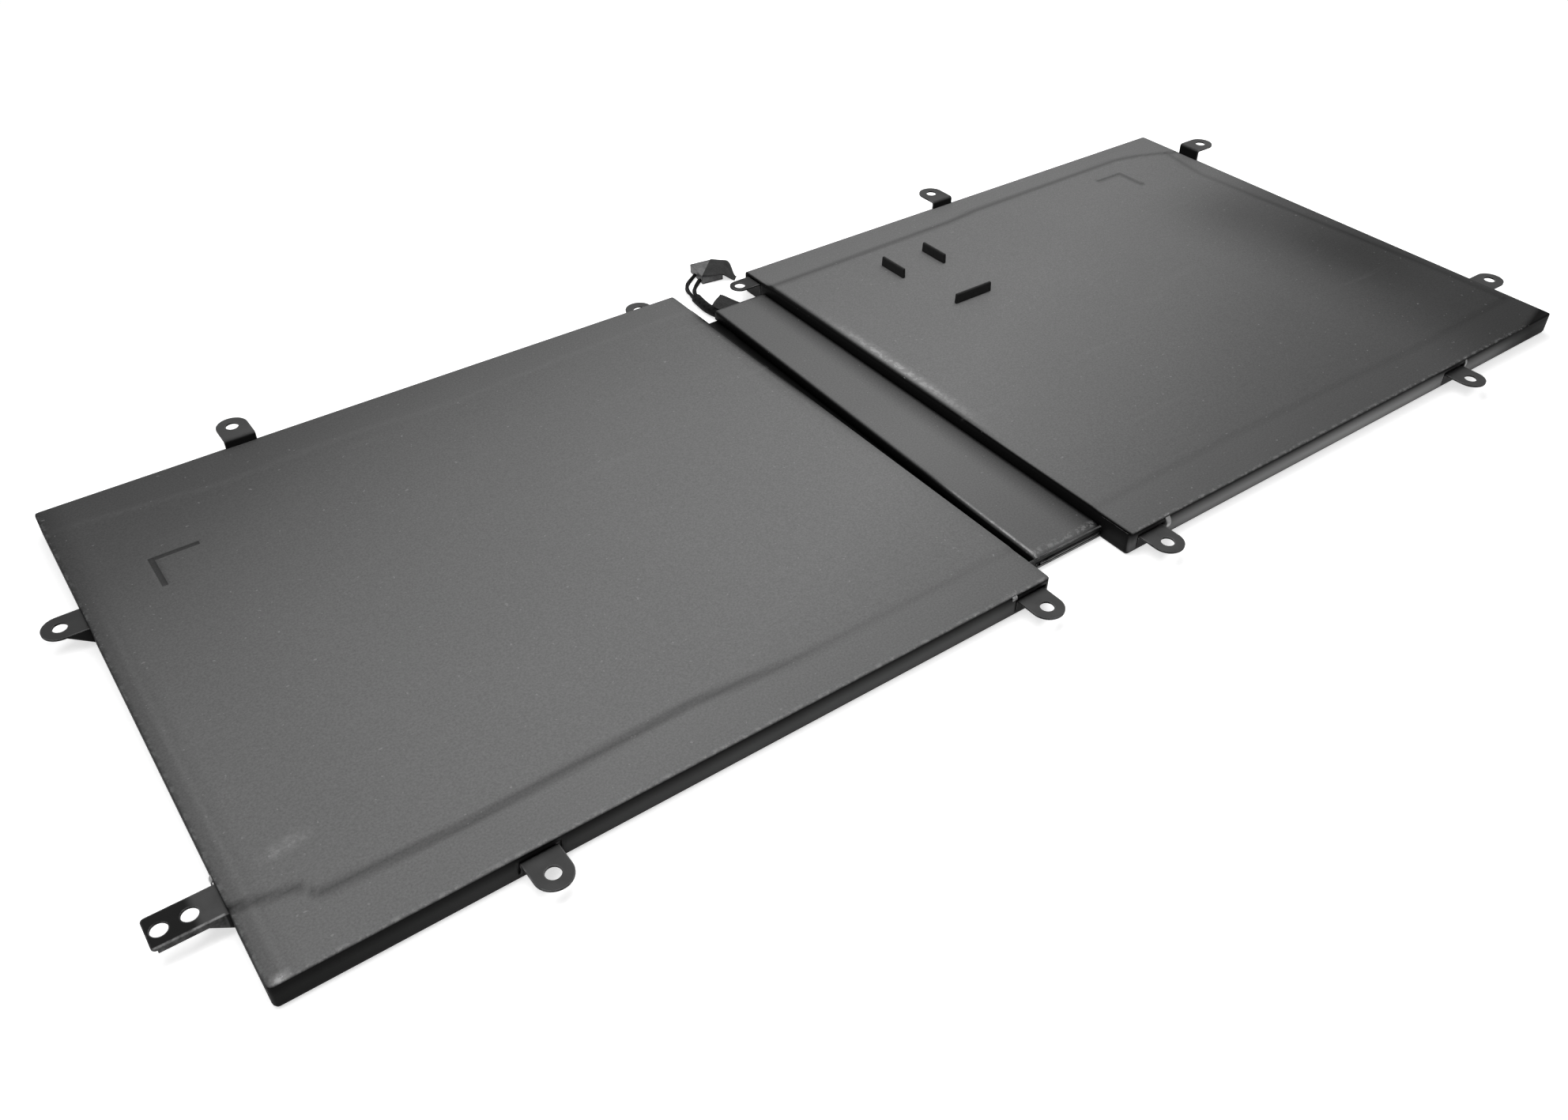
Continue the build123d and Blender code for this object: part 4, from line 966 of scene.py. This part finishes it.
def circle(count):
    """Cosines and sines of even turns."""
    turns = [math.tau * step / count for step in range(count)]
    return [(math.cos(turn), math.sin(turn)) for turn in turns]


def strand_mesh(name, points):
    """Thin wires that twist loosely round a bundle's line, as one mesh."""
    mesh = bmesh.new()
    frames = ring_frames(points)
    for strand in range(WIRES):
        travelled = 0.0
        rings = []
        for index, (point, side, up) in enumerate(frames):
            if index:
                travelled += (point - frames[index - 1][0]).length
            angle = math.tau * (strand / WIRES + travelled * TURNS_PER_METRE)
            centre = point + WIRE_OFFSET * (math.cos(angle) * side + math.sin(angle) * up)
            rims = [across * side + above * up for across, above in circle(8)]
            rings.append([mesh.verts.new(centre + WIRE_RADIUS * rim) for rim in rims])
        skin(mesh, rings, closed=True)
        mesh.faces.new(rings[0])
        mesh.faces.new(list(reversed(rings[-1])))
    bmesh.ops.recalc_face_normals(mesh, faces=mesh.faces)
    return finished(name, mesh, rounded=True)


def sleeve_mesh(name, points):
    """Soft woven sleeve round both bundles, a little uneven, with an open mouth."""
    mesh = bmesh.new()
    frames = ring_frames(points)
    last = len(frames) - 1
    outside = [(index, SLEEVE / 2) for index in range(last + 1)]
    inside = [(index, SLEEVE / 2 - SLEEVE_WALL) for index in range(last, -1, -1)]
    rings = []
    for index, radius in outside + inside:
        point, side, up = frames[index]
        share = index / last
        flare = max(0.0, share - MOUTH_START) * 0.5 * MM
        ring = []
        for across, above in circle(24):
            wrinkle = abs(noise.noise(Vector((share * 9.0, across * 1.6, above * 1.6))))
            body = radius - 0.05 * MM * wrinkle
            wide = body + flare * abs(across)
            flat = body - flare * 0.5
            ring.append(mesh.verts.new(point + wide * across * side + flat * above * up))
        rings.append(ring)
    skin(mesh, rings + rings[:1], closed=True)
    bmesh.ops.recalc_face_normals(mesh, faces=mesh.faces)
    return finished(name, mesh, rounded=True)


def build_lead():
    """The two bundles, their sleeve and the pieces at the lead's end."""
    line = curve_points(route_curve("sleeve_line", LEAD_LINE))
    first, last = (round(len(line) * share) for share in SLEEVE_ENDS)
    sleeve = piece("woven_sleeve", sleeve_mesh("woven_sleeve", line[first:last]), "sleeve")
    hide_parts("lead_sleeve")
    shells, tape, contacts = build_plug()
    for name, side, tail in (("left", -1, LEFT_END), ("right", 1, RIGHT_END)):
        route = [(x + side * BUNDLE_SPACING / 2, y, z) for x, y, z in LEAD_LINE] + tail
        line = curve_points(route_curve(name + "_line", route))
        strands = piece(name + "_wires", strand_mesh(name + "_wires", line), "wire")
        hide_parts(name + "_wire_bundle")


# Plug: its place and turn, and its length, width, height, wall and core in millimetres
PLUG_PLACE = Matrix.Translation(at(177.6, 152.9)) @ Matrix.Rotation(math.radians(-8.0), 4, "Z")
PLUG_SIZE = (6.4, 8.2, 2.5)
PLUG_WALL = 0.6
PLUG_CORE_LENGTH = 3.4
PLUG_EDGE = 0.18 * MM

# Tape on the plug: its stretches on the plug and past it and half its width, in millimetres,
# and its turn in degrees
TAPE_SIZE = (5.0, 3.4, 5.1)
TAPE_TURN = -46.6
TAPE_THICKNESS = 0.1 * MM


def build_plug():
    """Plug's five shell blocks, its folded tape and its contacts."""
    wall, half = PLUG_WALL, PLUG_WALL / 2
    length, width, height = PLUG_SIZE
    parts = [
        ("plug_floor", (0.0, 0.0, 0.0), (length, width, wall)),
        ("plug_roof", (0.0, 0.0, height - wall), (length, width, height)),
        ("plug_front_wall", (0.0, 0.0, 0.0), (length, wall, height)),
        ("plug_rear_wall", (0.0, width - wall, 0.0), (length, width, height)),
        ("plug_core", (0.0, half, half), (PLUG_CORE_LENGTH, width - half, height - half)),
    ]
    shells = []
    for name, low, high in parts:
        box = [[v * MM for v in corner] for corner in (low, high)]
        made = rounded_block(name, box, "plug_plastic", PLUG_EDGE)
        made.data.transform(PLUG_PLACE)
        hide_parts("plug_housing")
        shells.append(made)
    tape = piece("folded_tape", tape_mesh(), "dark_tape")
    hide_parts("plug_tape")
    return shells, tape, frame["nodes"]["plug_contacts"]


def tape_mesh():
    """Tape that lies on the plug's top and droops to the table, where it ends in a point."""
    hold, run, half_width = TAPE_SIZE
    steps, columns = 22, 12
    length, width, height = PLUG_SIZE
    middle = Matrix.Translation(PLUG_PLACE @ Vector((length / 2 * MM, width / 2 * MM, 0)))
    place = middle @ Matrix.Rotation(math.radians(TAPE_TURN), 4, "Z")
    rows = []
    for i in range(steps + 1):
        along = (hold + run) * i / steps
        droop = smooth((along - hold + 0.6) / (run + 0.6))
        low = -half_width + 3.8 * smooth((along - 1.5) / (hold + run - 1.5))
        high = half_width - 4.0 * smooth((along - hold) / run)
        row = []
        for j in range(columns + 1):
            across = low + (high - low) * j / columns
            ripple = 0.12 * math.sin(across * 0.9 + along * 0.8) * along / (hold + run)
            z = (height + 0.08) * (1.0 - droop) + 0.06 * droop + abs(ripple) * (1.0 - droop)
            row.append(place @ (Vector((along, across, z)) * MM))
        rows.append(row)
    return thin_sheet("folded_tape", rows, -TAPE_THICKNESS, rounded=True)


# Outline of the tape flag behind the bridge: depth, left and right ends, and height
FLAG_ROWS = [
    (130.6, 171.2, 177.2, 3.2), (133.3, 170.6, 177.2, 3.2), (134.8, 170.1, 176.6, 3.3),
    (136.3, 169.9, 176.0, 3.45), (137.6, 171.6, 175.6, 3.6), (139.0, 174.1, 175.0, 3.75),
]


def build_root_tape():
    """Folded tape flag that pokes out from under the bridge cover, over the lead."""
    columns = 8
    rows = []
    for y, left, right, z in FLAG_ROWS:
        row = []
        for step in range(columns + 1):
            share = step / columns
            ridge = 0.3 * fade(abs(share - 0.4), 0.4) * rise(y, 133.0, 3.0)
            row.append(at(left + (right - left) * share, y, z + ridge))
        rows.append(row)
    made = piece("root_flag", thin_sheet("root_flag", rows, TAPE_THICKNESS), "dark_tape")
    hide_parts("lead_root_tape")


# Sheared lugs beside the tabs: name, place, turn in degrees, then width, how far the curl
# stands out and how far it hangs down, in millimetres
LUGS = [
    ("lug_right_wing", (196.6, 0.0), 0.0, 1.3, 0.75, 2.6),
    ("lug_right_end", (305.9, 0.0), 0.0, 0.7, 0.35, 2.2),
    ("lug_left_wing", (152.0, 0.0), 0.0, 1.2, 0.3, 1.0),
    ("lug_left_edge", (0.0, 25.7), -90.0, 1.2, 0.5, 2.2),
]

# Where a lug starts: how far inside the wall's face and how high, in millimetres
LUG_INSET = 0.35
LUG_TOP = 5.86
LUG_THICKNESS = 0.25 * MM


def build_lugs():
    """Curled ends of the sheared sheet, which stand out a little beside some tabs."""
    cut_sheet = plain_material("cut_sheet", 0.26, 0.3, scale=1500.0, spread=0.4, metallic=0.3)
    steps = 12
    for name, (x, y), turn, width, bulge, drop in LUGS:
        rows = []
        for step in range(steps + 1):
            share = step / steps
            bend = math.sin(math.pi * min(1.0, share * 1.25) * 0.62)
            out = LUG_INSET - (LUG_INSET + bulge) * bend
            z = LUG_TOP - drop * share - 0.25 * (1.0 - math.cos(math.pi * share)) * 0.2
            rows.append([Vector((side * width / 2, out, z)) * MM for side in (-1, 1)])
        data = thin_sheet(name, rows, LUG_THICKNESS)
        data.transform(Matrix.Translation(at(x, y)) @ Matrix.Rotation(math.radians(turn), 4, "Z"))
        piece(name, data, "frame_steel", cut_sheet)


# Table: half its size, the gap that keeps its face apart from the part's underside, and how
# brightly it glows where the camera or a reflection sees it
TABLE_HALF_SIZE = 4.0
TABLE_GAP = 0.02 * MM
TABLE_GLOW = 0.62

# Strength of the studio's light on the part
WORLD_LIGHT = 0.3

# Lamps: name, place from the pack's middle and size in metres, power, and turn in degrees
LAMPS = [
    ("key", (0.1, 0.5, 0.9), (1.2, 0.8), 1.6, 0.0),
    ("strip", (0.0, 0.0, 0.19), (0.5, 0.08), 0.62, 22.6),
]


def build_stage():
    """White table, which keeps the part's soft shadow and is clear from below."""
    mesh = bmesh.new()
    bmesh.ops.create_grid(mesh, x_segments=1, y_segments=1, size=TABLE_HALF_SIZE)
    table = bpy.data.objects.new("table", finished("table", mesh))
    table.location.z = -TABLE_GAP
    bpy.context.scene.collection.objects.link(table)
    n = Nodes("table_white")
    n.finish(0.82, 0.9, specular=0.1)
    path = n.add("ShaderNodeLightPath").outputs
    seen = n.math("MAXIMUM", path["Is Camera Ray"], path["Is Glossy Ray"])
    dark = n.make("ShaderNodeEmission", {"Strength": 0.0})
    glow = n.make("ShaderNodeEmission", {"Strength": TABLE_GLOW})
    choose = n.make("ShaderNodeMixShader", {0: seen, 1: dark, 2: glow})
    both = n.make("ShaderNodeAddShader", {0: n.shader.outputs[0], 1: choose})
    clear = n.make("ShaderNodeBsdfTransparent", {})
    behind = n.add("ShaderNodeNewGeometry").outputs["Backfacing"]
    sides = n.make("ShaderNodeMixShader", {0: behind, 1: both, 2: clear})
    n.fill(n.tree.nodes["Material Output"], {"Surface": sides})
    table.data.materials.append(n.material)


def build_world():
    """Even studio light, with a white backdrop for the camera and for reflections."""
    world = bpy.data.worlds.new("studio")
    bpy.context.scene.world = world
    world.use_nodes = True
    tree = world.node_tree
    background = tree.nodes["Background"]
    background.inputs["Color"].default_value = (1.0, 1.0, 1.0, 1.0)
    path = tree.nodes.new("ShaderNodeLightPath")
    seen = path.outputs["Is Camera Ray"]
    for kind in ("Is Glossy Ray", "Is Transmission Ray"):
        either = tree.nodes.new("ShaderNodeMath")
        either.operation = "MAXIMUM"
        tree.links.new(seen, either.inputs[0])
        tree.links.new(path.outputs[kind], either.inputs[1])
        seen = either.outputs[0]
    level = tree.nodes.new("ShaderNodeMapRange")
    level.inputs["To Min"].default_value = WORLD_LIGHT
    level.inputs["To Max"].default_value = 1.0
    tree.links.new(seen, level.inputs["Value"])
    tree.links.new(level.outputs["Result"], background.inputs["Strength"])


def build_lamps():
    """Soft rectangular lamps aimed at the pack's middle, each turned about its own line."""
    for name, place, size, power, turn in LAMPS:
        data = bpy.data.lights.new(name, "AREA")
        data.shape = "RECTANGLE"
        data.size, data.size_y = size
        data.energy = power
        lamp = bpy.data.objects.new(name, data)
        lamp.location = place
        aim = (Vector((0, 0, 0)) - Vector(place)).to_track_quat("-Z", "Y").to_matrix().to_4x4()
        lamp.rotation_euler = (aim @ Matrix.Rotation(math.radians(turn), 4, "Z")).to_euler()
        lamp.visible_camera = False
        lamp.visible_glossy = False
        bpy.context.scene.collection.objects.link(lamp)


# Camera solved from the photograph's outlines: width and focal length in pixels, turns in
# degrees, and place and sensor in millimetres
PHOTO_WIDTH = 1984
FOCAL_PIXELS = 1726.2
PITCH = 39.745
YAW = 35.863
CAMERA_PLACE = (-5.07, -138.73, 185.14)
SENSOR = 36.0
CLIP_START = 5.0 * MM


def build_camera():
    """Camera at the photograph's place and angle."""
    data = bpy.data.cameras.new("photo_camera")
    data.sensor_width = SENSOR
    data.lens = FOCAL_PIXELS * SENSOR / PHOTO_WIDTH
    data.clip_start = CLIP_START
    camera = bpy.data.objects.new("photo_camera", data)
    camera.location = at(*CAMERA_PLACE)
    camera.rotation_euler = (math.radians(90.0 - PITCH), 0.0, math.radians(-YAW))
    bpy.context.scene.collection.objects.link(camera)
    bpy.context.scene.camera = camera


dress_cad_nodes()
build_films()
build_bridge()
build_rails()
build_ribs()
build_lead()
build_root_tape()
build_lugs()
build_stage()
build_world()
build_lamps()
build_camera()
bpy.context.scene.view_settings.view_transform = "Standard"
